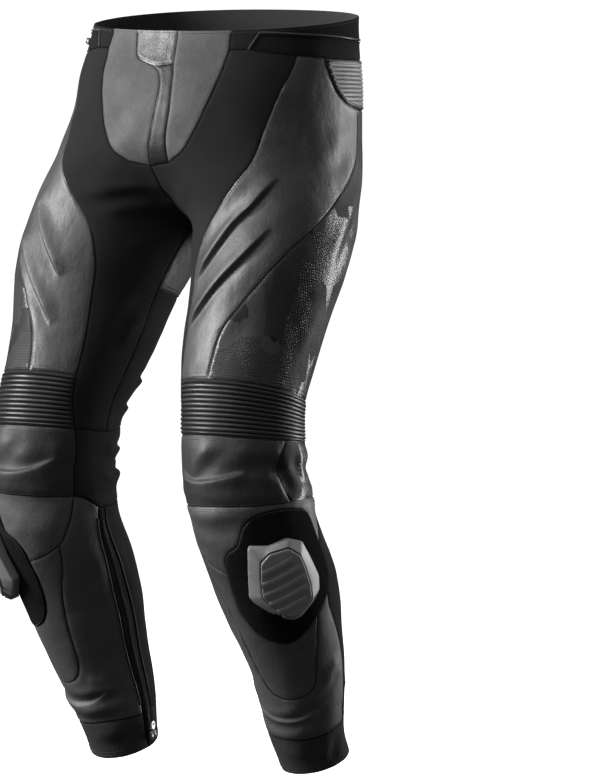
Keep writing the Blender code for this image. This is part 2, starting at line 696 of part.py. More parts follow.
KNEE_TOP, KNEE_BOTTOM = ((-145, 40), (441, 441)), ((-145, 40), (497, 497))
HIP_TOP, HIP_BOTTOM = ((-10, 20, 56), (41, 50, 58)), ((-10, 16, 30, 56), (104, 106, 108, 104))


def rib_lift(top, bottom, ribs, height):
    def lift(pattern):
        share = rib_share(pattern, top, bottom)
        return height * np.sin(np.pi * ribs * np.clip(share, 0, 1)) ** 2

    return lift


def rib_lines(entries, top, bottom, ribs, step):
    """A crest line along each rib and a valley line between ribs, kept off the panel's ends."""
    outline = outline_of(entries)
    flat = to_flat(outline[:, 0], outline[:, 1])
    bearing = np.linspace(outline[:, 0].min(), outline[:, 0].max(), 500)
    lines = []
    for k in range(1, 2 * ribs):
        share = k / (2 * ribs)
        high = np.interp(bearing, top[0], top[1])
        low = np.interp(bearing, bottom[0], bottom[1])
        run = np.stack([bearing, high + (low - high) * share], axis=1)
        spot = to_flat(run[:, 0], run[:, 1])
        keep = inside_polygon(spot, flat) & clear_of(spot, flat, True, 1.7)
        run = run[keep]
        lines.append(evenly(run, step))
    return lines


LEFT_AND_RIGHT = (("L", False), ("R", True))
PANELS = {
    "stretch_front": (
        "knit_stretch", "zip_stretch", "stretch_thigh", "stretch_ribs", "-stretch_bend", "-inseam_lower",
        "-inseam_upper", "-front_top", "-fly_end", "-yoke_stretch",
    ),
    "thigh": ("zip_thigh", "thigh_hip", "thigh_outer", "-thigh_ribs", "-stretch_thigh"),
    "hip_ribs": ("zip_hip", "-hip_seat", "-hip_outer", "-thigh_hip"),
    "outer_thigh": ("hip_outer", "outer_seat", "outer_back", "-outer_bend", "-outer_ribs", "-thigh_outer"),
    "seat": ("zip_seat", "back_top", "inseam_upper:turn", "-seat_back", "-outer_seat", "hip_seat"),
    "thigh_back": ("seat_back", "inseam_lower:turn", "-back_bend", "-outer_back"),
    "knee_ribs": ("thigh_ribs", "outer_ribs", "ribs_end", "-ribs_side", "-ribs_knee", "-stretch_ribs"),
    "knee": ("ribs_knee", "knee_side", "-knee_cup", "-knee_bend"),
    "knee_outer": ("ribs_side", "side_bend", "-side_cup", "-knee_side"),
    "knee_back": (
        "stretch_bend:turn", "knee_bend:turn", "-bend_shin:turn", "-bend_zip:turn", "-bend_calf", "-side_bend",
        "-ribs_end", "outer_bend", "back_bend",
    ),
    "knee_cup": ("knee_cup", "side_cup", "-cup_calf", "pad_cup", "-cup_front", "-cup_shin"),
    "shin_front": ("cup_front", "pad_front", "-front_shin"),
    "shin": ("bend_shin", "cup_shin", "front_shin", "pad_shin", "shin_calf", "-shin_cuff", "-shin_zip"),
    "calf": ("bend_calf", "calf_zip:turn", "-calf_cuff", "-shin_calf", "pad_calf", "cup_calf"),
    "calf_zip": ("bend_zip", "shin_zip", "cuff_zip", "-zip_hem", "-zip_cuff", "-calf_zip"),
    "cuff": ("shin_cuff", "calf_cuff", "zip_cuff:turn", "-cuff_hem", "-cuff_zip"),
    "slider_pad": ("pad_cup", "pad_front", "pad_shin", "pad_calf"),
}
YOKE_L = ("yoke_top", "yoke_knit", "yoke_stretch", "-fly_yoke", "-tab_yoke")
YOKE_R = (
    "yoke_top_other", "yoke_knit", "yoke_stretch", "fly_end", "-fly_foot:front", "-fly_other:front", "-tab_other:front",
)
FLY = ("tab_fly", "fly_yoke", "fly_end", "-fly_foot", "-fly_other")
TAB = ("tab_top", "tab_yoke", "-tab_fly", "-tab_other")
KNIT = (
    "knit_top", "-knit_top:back", "yoke_knit:back", "knit_stretch:back", "knit_end:back", "knit_zip:back",
    "-knit_zip", "-knit_end", "-knit_stretch", "-yoke_knit",
)
BAND = (
    "knit_end", "knit_zip", "-knit_zip:back", "-knit_end:back", "zip_stretch:back", "zip_thigh:back", "zip_hip:back",
    "zip_seat:back", "-zip_seat", "-zip_hip", "-zip_thigh", "-zip_stretch",
)

# The hard slider on the knee's pad: outline of its foot, and the heights of its parts over the cloth.
PAD_LIFT = 1.5
SLIDER_FOOT = (
    (-61, 603), (-67, 629), (-73, 654), (-70, 661), (-61, 673), (-49, 685), (-44, 688), (-37, 686),
    (-24, 674), (-16, 665), (-12.5, 650), (-14, 626), (-17, 608), (-27, 602), (-45, 606),
)
SLIDER_MIDDLE = (-43.0, 645.0)
SLIDER_RIM, SLIDER_TOP, FACE_TOP = 13.0, 19.0, 21.5
REST_GAP = 0.4


def shrunk(loop, across, down):
    loop = np.array(loop, float)
    middle = np.array(SLIDER_MIDDLE)
    return middle + (loop - middle) * np.array([across, down])


def pad_and_slider(side, mirrored):
    """The hook-and-loop pad, the slider that rests on it, made from the pad's points moved out, and the slider's face."""
    outline = outline_of(PANELS["slider_pad"])
    foot = np.array(SLIDER_FOOT, float)
    shoulder = shrunk(foot, 0.72, 0.93)
    face = shrunk(foot, 0.62, 0.87)
    loops = [np.vstack([loop, loop[:1]]) for loop in (foot, shoulder, face)]
    lines = [loop[:-1] for loop in loops]
    grid = grid_points(outline, loops, 13.0)
    pattern = np.vstack([outline] + lines + [grid])
    flat = to_flat(pattern[:, 0], pattern[:, 1])
    edges = []
    start = 0
    for count in [len(outline)] + [len(line) for line in lines]:
        edges.extend((start + i, start + (i + 1) % count) for i in range(count))
        start += count
    found = delaunay_2d_cdt([Vector(p) for p in flat], edges, [], 1, 1e-4)
    order = [olds[0] for olds in found[3]]
    triangles = np.array([[order[i] for i in face_of] for face_of in found[2]])
    a, b, c = flat[triangles[:, 0]], flat[triangles[:, 1]], flat[triangles[:, 2]]
    turned = (b[:, 0] - a[:, 0]) * (c[:, 1] - a[:, 1]) - (b[:, 1] - a[:, 1]) * (c[:, 0] - a[:, 0])
    triangles[turned < 0] = triangles[turned < 0][:, ::-1]
    placed = place(pattern[:, 0], pattern[:, 1])
    normals = outward(placed, pattern[:, 1])
    edge, _ = inset_points(outline, HALF_GAP)
    placed[: len(outline)] = edge
    points, faces = closed_over(
        placed + normals * PAD_LIFT, placed - normals * LEATHER, triangles, list(range(len(outline)))
    )
    add_piece("slider_pad_" + side, points, faces, mirrored)
    first = len(outline)
    second = first + len(foot)
    third = second + len(foot)
    centres = flat[triangles].mean(axis=1)
    for name, begin, base, rim, rest in (
        ("knee_slider_", first, PAD_LIFT + REST_GAP, SLIDER_RIM, SLIDER_TOP),
        ("slider_face_", third, SLIDER_TOP + REST_GAP, FACE_TOP, FACE_TOP),
    ):
        loop = list(range(begin, begin + len(foot)))
        chosen = triangles[inside_polygon(centres, flat[loop])]
        height = np.full(len(pattern), rest)
        height[loop] = rim
        low = placed + normals * base
        high = placed + normals * height[:, None]
        if loop_turns_left(flat[loop]):
            rim_run = loop
        else:
            rim_run = loop[::-1]
        points, faces = closed_over(high, low, chosen, rim_run)
        add_piece(name + side, points, faces, mirrored)


def loop_turns_left(flat):
    ahead = np.roll(flat, -1, axis=0)
    return (flat[:, 0] * ahead[:, 1] - flat[:, 1] * ahead[:, 0]).sum() > 0


def frame_at(bearing, drop, heading):
    """A point on the cloth with three directions: across, along the heading in the cloth, and out."""
    here = place(bearing, drop)
    out = outward(here[None], np.array([drop]))[0]
    ahead = place(bearing + heading[0], drop + heading[1]) - here
    along = ahead - out * (ahead @ out)
    along /= np.linalg.norm(along)
    return here, np.cross(along, out), along, out


def extruded(name, profile, start, end, frame, mirrored, origin=None):
    """A solid from a profile of (first, second) run between two values of the third of the frame's directions."""
    here, first, second, third = frame
    points = []
    for level in (start, end):
        points.extend(here + first * p[0] + second * p[1] + third * level for p in profile)
    count = len(profile)
    faces = [tuple(reversed(range(count))), tuple(range(count, 2 * count))]
    faces += [(i, (i + 1) % count, (i + 1) % count + count, i + count) for i in range(count)]
    points = np.array(points)
    solid_sign = np.linalg.det(np.stack([first, second, third]))
    if (solid_sign > 0) != loop_turns_left(np.array(profile, float)):
        faces = [tuple(reversed(face)) for face in faces]
    add_piece(name, points, faces, mirrored, origin)


SLIDER_PROFILE = (
    (-4.2, 0.6), (4.2, 0.6), (4.2, 3.4), (3.6, 5.6), (2.4, 5.6),
    (2.4, 3.3), (-2.4, 3.3), (-2.4, 5.6), (-3.6, 5.6), (-4.2, 3.4),
)
PULL_PROFILE = (
    (-2.0, -0.8), (2.0, -0.8), (2.0, 5.5), (2.9, 7.0), (2.9, 15.0),
    (2.2, 16.0), (-2.2, 16.0), (-2.9, 15.0), (-2.9, 7.0), (-2.0, 5.5),
)
HINGE_HEIGHT = 4.5
PULL_HALF = 0.7


def slider_and_pull(names, bearing, drop, heading, mirrored, lifted=0.0):
    """A zip slider with two rails, and its pull between them on a hinge across the rails."""
    here, across, along, out = frame_at(bearing, drop, heading)
    here = here + out * lifted
    extruded(names[0], SLIDER_PROFILE, -4.5, 5.5, (here, across, out, along), mirrored)
    hinge = here + along * 3.5 + out * HINGE_HEIGHT
    flip = np.array([-1.0, 1.0, 1.0]) if mirrored else np.ones(3)
    extruded(names[1], PULL_PROFILE, -PULL_HALF, PULL_HALF, (hinge, across, along, out), mirrored, hinge * flip)


def zip_lift(pattern):
    return np.full(len(pattern), 1.2)


def middle_of(first, second, count):
    """A line midway between two seams that run the same way."""
    share = np.linspace(0, 1, count)
    runs = []
    for seam in (first, second):
        run = np.linspace(0, 1, len(seam))
        runs.append(np.stack([np.interp(share, run, seam[:, 0]), np.interp(share, run, seam[:, 1])], axis=1))
    return (runs[0] + runs[1]) / 2


for old in list(bpy.data.objects):
    bpy.data.objects.remove(old)
garment = bpy.data.objects.new("garment", None)
bpy.context.scene.collection.objects.link(garment)

panel("waistband_knit", KNIT, STRETCH)
panel("connector_band", BAND, LEATHER)
panel("yoke_L", YOKE_L, LEATHER)
panel("yoke_R", YOKE_R, LEATHER, mirrored=True)
panel("fly_placket", FLY, LEATHER)
panel("waist_tab", TAB, LEATHER)
zip_runs = [np.vstack([SAMPLED[a], SAMPLED[b][1:]]) for a, b in (("shin_zip", "cuff_zip"), ("calf_zip", "zip_cuff"))]
teeth_line = middle_of(zip_runs[0], zip_runs[1], 19)[1:-1]
for side, mirrored in LEFT_AND_RIGHT:
    knee_lines = rib_lines(PANELS["knee_ribs"], KNEE_TOP, KNEE_BOTTOM, KNEE_RIBS, 18.0)
    hip_lines = rib_lines(PANELS["hip_ribs"], HIP_TOP, HIP_BOTTOM, HIP_RIBS, 22.0)
    plain = ("stretch_front", "outer_thigh", "knee_outer", "knee_cup", "shin_front", "cuff")
    for name in plain:
        wall = STRETCH if name in ("stretch_front", "cuff") else LEATHER
        panel(f"{name}_{side}", PANELS[name], wall, mirrored=mirrored)
    for name in ("thigh", "knee"):
        key = f"{name}_{side}"
        panel(key, PANELS[name], LEATHER, fold_lift(key), fold_lines(key), mirrored=mirrored)
    for name in ("seat", "thigh_back", "shin"):
        panel(f"{name}_{side}", PANELS[name], LEATHER, fold_lift(name), fold_lines(name), mirrored=mirrored)
    for name in ("knee_back", "calf"):
        panel(f"{name}_{side}", PANELS[name], STRETCH, fold_lift(name), fold_lines(name), mirrored=mirrored)
    knee_raise = rib_lift(KNEE_TOP, KNEE_BOTTOM, KNEE_RIBS, 2.2)
    hip_raise = rib_lift(HIP_TOP, HIP_BOTTOM, HIP_RIBS, 2.0)
    panel(f"knee_ribs_{side}", PANELS["knee_ribs"], LEATHER, knee_raise, knee_lines, 500.0, mirrored)
    panel(f"hip_ribs_{side}", PANELS["hip_ribs"], LEATHER, hip_raise, hip_lines, 500.0, mirrored)
    panel(f"calf_zip_{side}", PANELS["calf_zip"], LEATHER, zip_lift, [teeth_line], 500.0, mirrored)
    pad_and_slider(side, mirrored)
    slider_and_pull((f"calf_slider_{side}", f"calf_pull_{side}"), -178.8, 880.0, (0.0, -10.0), mirrored, 1.2)
slider_and_pull(("connector_slider", "connector_pull"), -24.0, 22.0, (10.0, 4.0), True, -0.2)
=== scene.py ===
"""Looks of the motorcycle trousers: every sewn piece as a fine sheet over its solid, with seams, folds, ribs, stitches, zips and sliders.
Lengths in the tables are millimetres. A point on the cloth is named by its bearing round the leg and its drop below the waist."""

import json
import math

import bpy
import numpy as np
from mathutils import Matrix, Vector
from mathutils.geometry import delaunay_2d_cdt

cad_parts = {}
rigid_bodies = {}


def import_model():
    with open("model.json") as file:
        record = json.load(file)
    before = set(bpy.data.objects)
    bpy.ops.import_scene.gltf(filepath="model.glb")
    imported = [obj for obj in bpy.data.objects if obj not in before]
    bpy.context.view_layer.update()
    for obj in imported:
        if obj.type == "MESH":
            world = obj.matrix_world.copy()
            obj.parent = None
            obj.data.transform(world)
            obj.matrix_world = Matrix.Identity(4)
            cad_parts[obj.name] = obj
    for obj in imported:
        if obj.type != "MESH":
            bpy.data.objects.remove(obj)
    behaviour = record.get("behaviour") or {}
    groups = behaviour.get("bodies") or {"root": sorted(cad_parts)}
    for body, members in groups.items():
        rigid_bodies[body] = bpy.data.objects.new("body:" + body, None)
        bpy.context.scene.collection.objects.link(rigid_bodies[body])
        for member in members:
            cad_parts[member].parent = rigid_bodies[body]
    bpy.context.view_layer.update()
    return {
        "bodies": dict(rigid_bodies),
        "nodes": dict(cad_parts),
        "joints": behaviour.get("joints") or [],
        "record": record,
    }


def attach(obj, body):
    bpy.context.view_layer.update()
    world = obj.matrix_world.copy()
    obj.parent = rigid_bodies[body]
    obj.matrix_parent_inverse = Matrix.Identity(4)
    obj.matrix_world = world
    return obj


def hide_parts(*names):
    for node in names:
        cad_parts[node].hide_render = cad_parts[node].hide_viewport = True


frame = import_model()

SECTION_COLUMNS = ("drop", "outer", "inner", "front", "back", "pitch", "square", "skew")
SECTIONS = (
    (0, 154, -154, -110, 110, 5, 2.2, 0.00),
    (30, 158, -157, -118, 107, 4, 2.2, 0.00),
    (60, 166, -158, -132, 108, 2, 2.2, 0.00),
    (98, 176, -145, -142, 111, 0, 2.2, 0.00),
    (134, 186, -116, -150, 109, -3, 2.2, 0.02),
    (171, 196, -78, -157, 102, -6, 2.2, 0.05),
    (208, 208, -30, -160, 77, -9, 2.15, 0.09),
    (244, 217, 12, -161, 48, -12, 2.1, 0.13),
    (299, 223, 27, -183, 15, -15, 2.05, 0.14),
    (335, 218, 35, -192, -10, -17, 2.0, 0.13),
    (390, 212, 43, -206, -38, -18, 2.0, 0.08),
    (445, 210, 55, -223, -70, -15, 2.0, 0.05),
    (464, 213, 63, -227, -78, -12, 2.0, 0.04),
    (537, 221, 70, -237, -84, 0, 2.0, 0.03),
    (610, 227, 77, -219, -67, 14, 2.0, 0.03),
    (659, 228, 78, -188, -38, 19, 2.0, 0.03),
    (720, 220, 84, -151, -13, 22, 2.0, 0.05),
    (775, 211, 93, -118, 1, 22, 2.0, 0.07),
    (830, 198, 94, -90, 14, 22, 2.0, 0.07),
    (866, 188, 97, -73, 18, 22, 2.0, 0.05),
    (885, 188, 102, -63, 23, 22, 2.0, 0.03),
    (895, 188, 103, -58, 28, 22, 2.0, 0.00),
)
HEM_DROP = 894.0
LEVEL_STEP = 3.0
SMOOTH_LEVELS = 10
JOIN_POWER = 6.0  # how sharply the two legs' tubes join into one
JOIN_REACH = 2 ** (1 / JOIN_POWER)
COLUMNS_PER_SIDE = 180

SEAM_STEP = 4.0
GRID_STEP = 5.0
HALF_GAP = 0.12  # each piece stops this short of its seam line
LEATHER = 1.8
STRETCH = 1.3


def smoothed_sections():
    """The table's rows every LEVEL_STEP, eased into each other, then at every level of the form."""
    table = np.array(SECTIONS, float)
    pad = SMOOTH_LEVELS * LEVEL_STEP
    reach = np.arange(-pad, HEM_DROP + pad + LEVEL_STEP / 2, LEVEL_STEP)
    window = np.hanning(2 * SMOOTH_LEVELS + 3)[1:-1]
    window /= window.sum()
    steps = np.arange(0, HEM_DROP + LEVEL_STEP / 2, LEVEL_STEP)
    columns = {}
    for i, name in enumerate(SECTION_COLUMNS[1:], start=1):
        start_slope = (table[1, i] - table[0, i]) / (table[1, 0] - table[0, 0])
        end_slope = (table[-1, i] - table[-3, i]) / (table[-1, 0] - table[-3, 0])
        values = np.interp(reach, table[:, 0], table[:, i])
        values = np.where(reach < table[0, 0], table[0, i] + (reach - table[0, 0]) * start_slope, values)
        values = np.where(reach > table[-1, 0], table[-1, i] + (reach - table[-1, 0]) * end_slope, values)
        columns[name] = np.convolve(values, window, mode="valid")
    return steps, columns


STEPS, COLUMNS = smoothed_sections()


def section(name, drop):
    return np.interp(drop, STEPS, COLUMNS[name])


def tube(drop):
    """mid, half width, half depth, squareness and skew of one leg's tube."""
    outer, inner = section("outer", drop), section("inner", drop)
    deep = (section("back", drop) - section("front", drop)) / 2
    return (outer + inner) / 2, (outer - inner) / 2, deep, section("square", drop), section("skew", drop)


def tube_share(x, y, drop):
    """1 on a tube's own outline and less inside it."""
    mid, half, deep, square, skew = tube(drop)
    across = np.abs(x + skew * y - mid) / half
    along = np.abs(y) / deep
    return (across**square + along**square + 1e-12) ** (1 / square)


def body_share(x, y, drop):
    own = tube_share(x, y, drop)
    other = tube_share(-x, y, drop)
    return (own**-JOIN_POWER + other**-JOIN_POWER) ** (-1 / JOIN_POWER)


def crotch_drop():
    low, high = 100.0, 400.0
    for _ in range(50):
        middle = (low + high) / 2
        if tube_share(0.0, 0.0, middle) < JOIN_REACH:
            low = middle
        else:
            high = middle
    return (low + high) / 2


CROTCH = crotch_drop()


def form_levels():
    near = CROTCH + np.array([-6.0, -4.0, -2.5, -1.5, -0.8, -0.35, -0.1, 0.0, 0.1, 0.35, 0.8, 1.5, 2.5, 4.0, 6.0])
    far = STEPS[np.abs(STEPS - CROTCH) > 7.0]
    return np.sort(np.concatenate([far, near]))


LEVELS = form_levels()


def centre_bearings():
    """The bearing of the centre front and of the centre back at each level, or the inseam's."""
    mid = tube(LEVELS)[0]
    deep = tube(LEVELS)[2]
    parted = LEVELS >= CROTCH - 1e-6
    ends = []
    for side in (-1, 1):
        low, high = np.zeros(len(LEVELS)), 3 * deep
        for _ in range(50):
            middle = (low + high) / 2
            inside = tube_share(0.0, side * middle, LEVELS) < JOIN_REACH
            low = np.where(inside, middle, low)
            high = np.where(inside, high, middle)
        bearing = np.degrees(np.arctan2(side * low, -np.maximum(mid, 0.001)))
        ends.append(np.where(parted, side * 180.0, bearing))
    return ends


FRONT_ENDS, BACK_ENDS = centre_bearings()


def form_points():
    """The wearer's left half: a row for each level, from centre front round the side to centre back."""
    share = np.linspace(-1, 1, 2 * COLUMNS_PER_SIDE + 1)
    level = LEVELS[:, None]
    bearing = np.where(share < 0, -share * FRONT_ENDS[:, None], share * BACK_ENDS[:, None])
    angle = np.radians(bearing)
    dx, dy = np.cos(angle), np.sin(angle)
    mid, half, deep = tube(level)[:3]
    centre = np.maximum(mid, 0.001)
    stop = np.where(dx < -1e-9, centre / np.maximum(-dx, 1e-9), 1e9)
    low = np.zeros(bearing.shape)
    high = np.minimum(3 * np.maximum(half, deep), stop)
    for _ in range(45):
        middle = (low + high) / 2
        inside = body_share(centre + middle * dx, middle * dy, level) < 1
        low = np.where(inside, middle, low)
        high = np.where(inside, high, middle)
    x, y = centre + low * dx, low * dy
    joined = LEVELS < CROTCH + 1e-6
    x[joined, 0] = 0
    x[joined, -1] = 0
    x = np.maximum(x, 0)
    return from_section(x, y, level)


def from_section(x, y, drop):
    pitch = np.radians(section("pitch", drop))
    middle = (section("front", drop) + section("back", drop)) / 2
    return np.stack([x, middle + y * np.cos(pitch), -drop + y * np.sin(pitch)], axis=-1)


POINTS = form_points()


def centre_front(drop):
    return np.interp(drop, LEVELS, FRONT_ENDS)


def centre_back(drop):
    return np.interp(drop, LEVELS, BACK_ENDS)


def place(bearing, drop):
    """The point on the form. Past a centre line it goes on round the other half, and past the inseam round the leg."""
    bearing, drop = np.broadcast_arrays(np.asarray(bearing, float), np.asarray(drop, float))
    front, back = centre_front(drop), centre_back(drop)
    joined = drop < CROTCH
    over_front = bearing < front
    over_back = bearing > back
    turned = np.where(over_front, bearing + 360, np.where(over_back, bearing - 360, bearing))
    folded = np.where(over_front, 2 * front - bearing, np.where(over_back, 2 * back - bearing, bearing))
    inside = np.where(joined, folded, turned)
    flip = np.where(joined & (over_front | over_back), -1.0, 1.0)
    j = np.clip(np.searchsorted(LEVELS, drop, side="right") - 1, 0, len(LEVELS) - 2)
    down = np.clip((drop - LEVELS[j]) / (LEVELS[j + 1] - LEVELS[j]), 0, 1)[..., None]
    share = np.clip(np.where(inside < 0, -inside / front, inside / back), -1, 1)
    column = (share + 1) * COLUMNS_PER_SIDE
    i = np.clip(column.astype(int), 0, 2 * COLUMNS_PER_SIDE - 1)
    along = (column - i)[..., None]
    upper = POINTS[j, i] * (1 - along) + POINTS[j, i + 1] * along
    lower = POINTS[j + 1, i] * (1 - along) + POINTS[j + 1, i + 1] * along
    found = upper * (1 - down) + lower * down
    found[..., 0] *= flip
    return found


def outward(points, drop):
    """Unit normals of the form at points on it, from the slope of body_share there."""
    drop = np.asarray(drop, float)
    pitch = np.radians(section("pitch", drop))
    middle = (section("front", drop) + section("back", drop)) / 2
    x = points[..., 0]
    y = (points[..., 1] - middle) / np.cos(pitch)
    slope_x = body_share(x + 0.4, y, drop) - body_share(x - 0.4, y, drop)
    slope_y = body_share(x, y + 0.4, drop) - body_share(x, y - 0.4, drop)
    low = np.clip(drop - 1.5, 0, HEM_DROP)
    high = np.clip(drop + 1.5, 0, HEM_DROP)
    slope_d = (body_share(x, y, high) - body_share(x, y, low)) * 0.8 / (high - low)
    step_d = (from_section(x, y, high) - from_section(x, y, low)) / (high - low)[..., None]
    # The three slopes are along x, along the section's own y and down the levels.
    frame = np.zeros(points.shape[:-1] + (3, 3))
    frame[..., 0, 0] = 1
    frame[..., 1, 1] = np.cos(pitch)
    frame[..., 1, 2] = np.sin(pitch)
    frame[..., 2, :] = step_d
    slopes = np.stack([slope_x, slope_y, slope_d], axis=-1)
    normal = np.linalg.solve(frame, slopes[..., None])[..., 0]
    return normal / np.linalg.norm(normal, axis=-1, keepdims=True)


FLY_FOOT = (float(centre_front(189.0)), 189.0)
BAND_BACK = (float(centre_back(38.0)), 38.0)
SEAT_BACK = (float(centre_back(59.0)), 59.0)


def to_flat(bearing, drop):
    """A flat map of the cloth for cutting it into triangles, in about millimetres."""
    girth = section("outer", drop) - np.maximum(section("inner", drop), -section("outer", drop))
    depth = section("back", drop) - section("front", drop)
    return np.stack([np.radians(bearing) * (girth + depth) / 4, -drop], axis=-1)


# Seams of the wearer's left half, as bearing and drop.
SEAMS = {
    "yoke_top": ((-81, 0), (-51, 0)),
    "yoke_top_other": ((-69.5, 0), (-51, 0)),
    "knit_top": ((-51, 0), (20, 0), (90, 0)),
    "tab_top": ((-110.5, 0), (-81, 0)),
    "tab_yoke": ((-81, 0), (-81, 42)),
    "fly_yoke": ((-81, 42), (-81, 67), (-86.5, 110), (-99.5, 160), (-107.5, 184)),
    "tab_fly": ((-100, 41), (-92, 45), (-81, 42)),
    "tab_other": ((-110.5, 0), (-108, 28), (-105, 36), (-100, 41)),
    "fly_other": ((-100, 41), (-93, 47), (-89.5, 56), (-89, 72), (-91, 89), (-95, 110), (-103, 141), (-113, 170)),
    "fly_foot": ((-113, 170), FLY_FOOT),
    "fly_end": ((-107.5, 184), FLY_FOOT),
    "yoke_knit": ((-51, 0), (-51, 25)),
    "yoke_stretch": ((-51, 25), (-53.5, 48), (-57, 68), (-63.5, 95), (-75, 131), (-91, 166), (-107.5, 184)),
    "knit_stretch": ((-51, 25), (-42, 25)),
    "knit_end": ((-42, 25), (-38, 5)),
    "knit_zip": ((-38, 5), (-27, 8), (-4.5, 17), (14, 26), (45, 34), BAND_BACK),
    "zip_stretch": ((-42, 25), (-22, 35)),
    "zip_thigh": ((-22, 35), (-10, 41)),
    "zip_hip": ((-10, 41), (20, 50), (50, 56)),
    "zip_seat": ((50, 56), SEAT_BACK),
    "stretch_thigh": (
        (-22, 35), (-24, 52), (-29, 76), (-39, 122), (-54, 175), (-73, 212), (-97, 249),
        (-110, 272), (-119, 297), (-125, 325), (-129, 375), (-132, 412), (-134, 441),
    ),
    "thigh_hip": ((-10, 41), (-7, 62), (-2.5, 84), (5, 99), (16, 106)),
    "hip_outer": ((16, 106), (30, 108), (44, 104)),
    "hip_seat": ((44, 104), (52, 95), (55, 80), (53.5, 67), (50, 56)),
    "thigh_outer": (
        (16, 106), (16, 150), (9, 180), (-3.6, 206), (-19, 236), (-34, 269), (-46, 300),
        (-56, 330), (-69, 364), (-79, 390), (-85, 415), (-89, 441),
    ),
    "outer_seat": ((44, 104), (54, 160), (60, 230), (62, 300)),
    "outer_back": ((62, 300), (60, 350), (54, 400), (48, 441)),
    "seat_back": ((62, 300), (95, 312), (135, 322), (180, 326)),
    "thigh_ribs": ((-134, 441), (-89, 441)),
    "outer_ribs": ((-89, 441), (-30, 441), (30, 441)),
    "outer_bend": ((30, 441), (48, 441)),
    "stretch_ribs": ((-134, 441), (-138, 466), (-145, 497)),
    "ribs_end": ((30, 441), (37, 448), (40, 459), (40, 480), (37, 490), (30, 497)),
    "ribs_knee": ((-145, 497), (-80, 497), (-12, 497)),
    "ribs_side": ((-12, 497), (30, 497)),
    "stretch_bend": ((-180, 497), (-145, 497)),
    "back_bend": ((48, 441), (80, 455), (120, 478), (150, 490), (180, 497)),
    "knee_side": ((-12, 497), (-20, 516), (-20.5, 540), (-14, 566)),
    "side_bend": ((30, 497), (36, 530), (42, 572)),
    "knee_bend": ((-145, 497), (-149.5, 522), (-148, 546), (-147, 570)),
    "knee_cup": ((-147, 570), (-80, 566), (-14, 566)),
    "side_cup": ((-14, 566), (15, 567), (42, 572)),
    "bend_shin": ((-172, 588), (-158.5, 575), (-147, 570)),
    "bend_zip": ((-180, 590), (-172, 588)),
    "bend_calf": ((42, 572), (75, 580), (110, 588), (150, 592), (180, 590)),
    "cup_shin": ((-147, 570), (-141, 595), (-132, 613), (-126, 620)),
    "cup_front": ((-126, 620), (-109, 629), (-92, 635)),
    "cup_calf": ((14, 624), (28, 606), (42, 572)),
    "pad_cup": (
        (14, 624), (12, 598), (5, 581), (-12, 573), (-36, 572), (-52, 576), (-63, 586),
        (-72, 604), (-83, 611), (-90, 622), (-92, 635),
    ),
    "pad_front": (
        (-92, 635), (-94, 655), (-92, 682), (-84, 703), (-69, 716), (-52, 721), (-35, 713), (-18, 699),
    ),
    "pad_shin": ((-18, 699), (1, 682)),
    "pad_calf": ((1, 682), (11, 658), (14, 624)),
    "front_shin": (
        (-126, 620), (-123, 640), (-113, 674), (-106, 715), (-104, 752), (-99, 776), (-88, 788), (-72, 793),
        (-56, 793), (-43, 788), (-35, 776), (-29, 745), (-18, 699),
    ),
    "shin_calf": ((1, 682), (1, 702), (8, 730), (14, 766), (15, 792), (14, 849)),
    "shin_zip": ((-172, 588), (-166, 645), (-163, 700), (-164, 774), (-167, 827), (-168, 849)),
    "calf_zip": ((-180, 590), (-180, 640), (-181, 700), (-183, 760), (-185, 820), (-186, 849)),
    "shin_cuff": ((-168, 849), (-110, 846), (-45, 850), (14, 849)),
    "calf_cuff": ((14, 849), (90, 849), (174, 849)),
    "cuff_zip": ((-168, 849), (-171, 894)),
    "zip_cuff": ((-186, 849), (-188, 894)),
    "zip_hem": ((-188, 894), (-171, 894)),
    "cuff_hem": ((-171, 894), (-90, 894), (0, 894), (90, 894), (172, 894)),
}
# Seams on the plane x = 0 or down the inseam, as the drops they run between.
CENTRE_SEAMS = {
    "front_top": ("front", 189.0, CROTCH),
    "back_top": ("back", 59.0, CROTCH),
    "inseam_upper": ("front", CROTCH, 326.0),
    "inseam_lower": ("front", 326.0, 497.0),
}
def eased(points, count=24):
    """A Catmull-Rom curve through the points, as a dense polyline."""
    points = np.array(points, float)
    if len(points) == 2:
        share = np.linspace(0, 1, count)[:, None]
        return points[0] * (1 - share) + points[1] * share
    padded = np.vstack([2 * points[0] - points[1], points, 2 * points[-1] - points[-2]])
    pieces = []
    for a, b, c, d in zip(padded, padded[1:], padded[2:], padded[3:]):
        t = np.linspace(0, 1, count, endpoint=False)[:, None]
        pieces.append(b + 0.5 * t * (c - a + t * (2 * a - 5 * b + 4 * c - d + t * (3 * (b - c) + d - a))))
    pieces.append(points[-1:])
    return np.vstack(pieces)


def evenly(pattern, step):
    """Points at even distances along a dense polyline of the cloth, ends kept."""
    placed = place(pattern[:, 0], pattern[:, 1])
    run = np.concatenate([[0], np.cumsum(np.linalg.norm(np.diff(placed, axis=0), axis=1))])
    count = max(1, round(run[-1] / step))
    want = np.linspace(0, run[-1], count + 1)
    return np.stack([np.interp(want, run, pattern[:, 0]), np.interp(want, run, pattern[:, 1])], axis=1)


def centre_curve(kind, start, end):
    """Along a centre line the bearing follows it, with many levels near the crotch."""
    drops = np.unique(np.concatenate([[start, end], LEVELS[(LEVELS > start) & (LEVELS < end)]]))
    bearing = centre_front(drops) if kind == "front" else centre_back(drops)
    if start >= CROTCH - 1e-6:
        bearing = np.full(drops.shape, -180.0 if kind == "front" else 180.0)
    return np.stack([bearing, drops], axis=1)


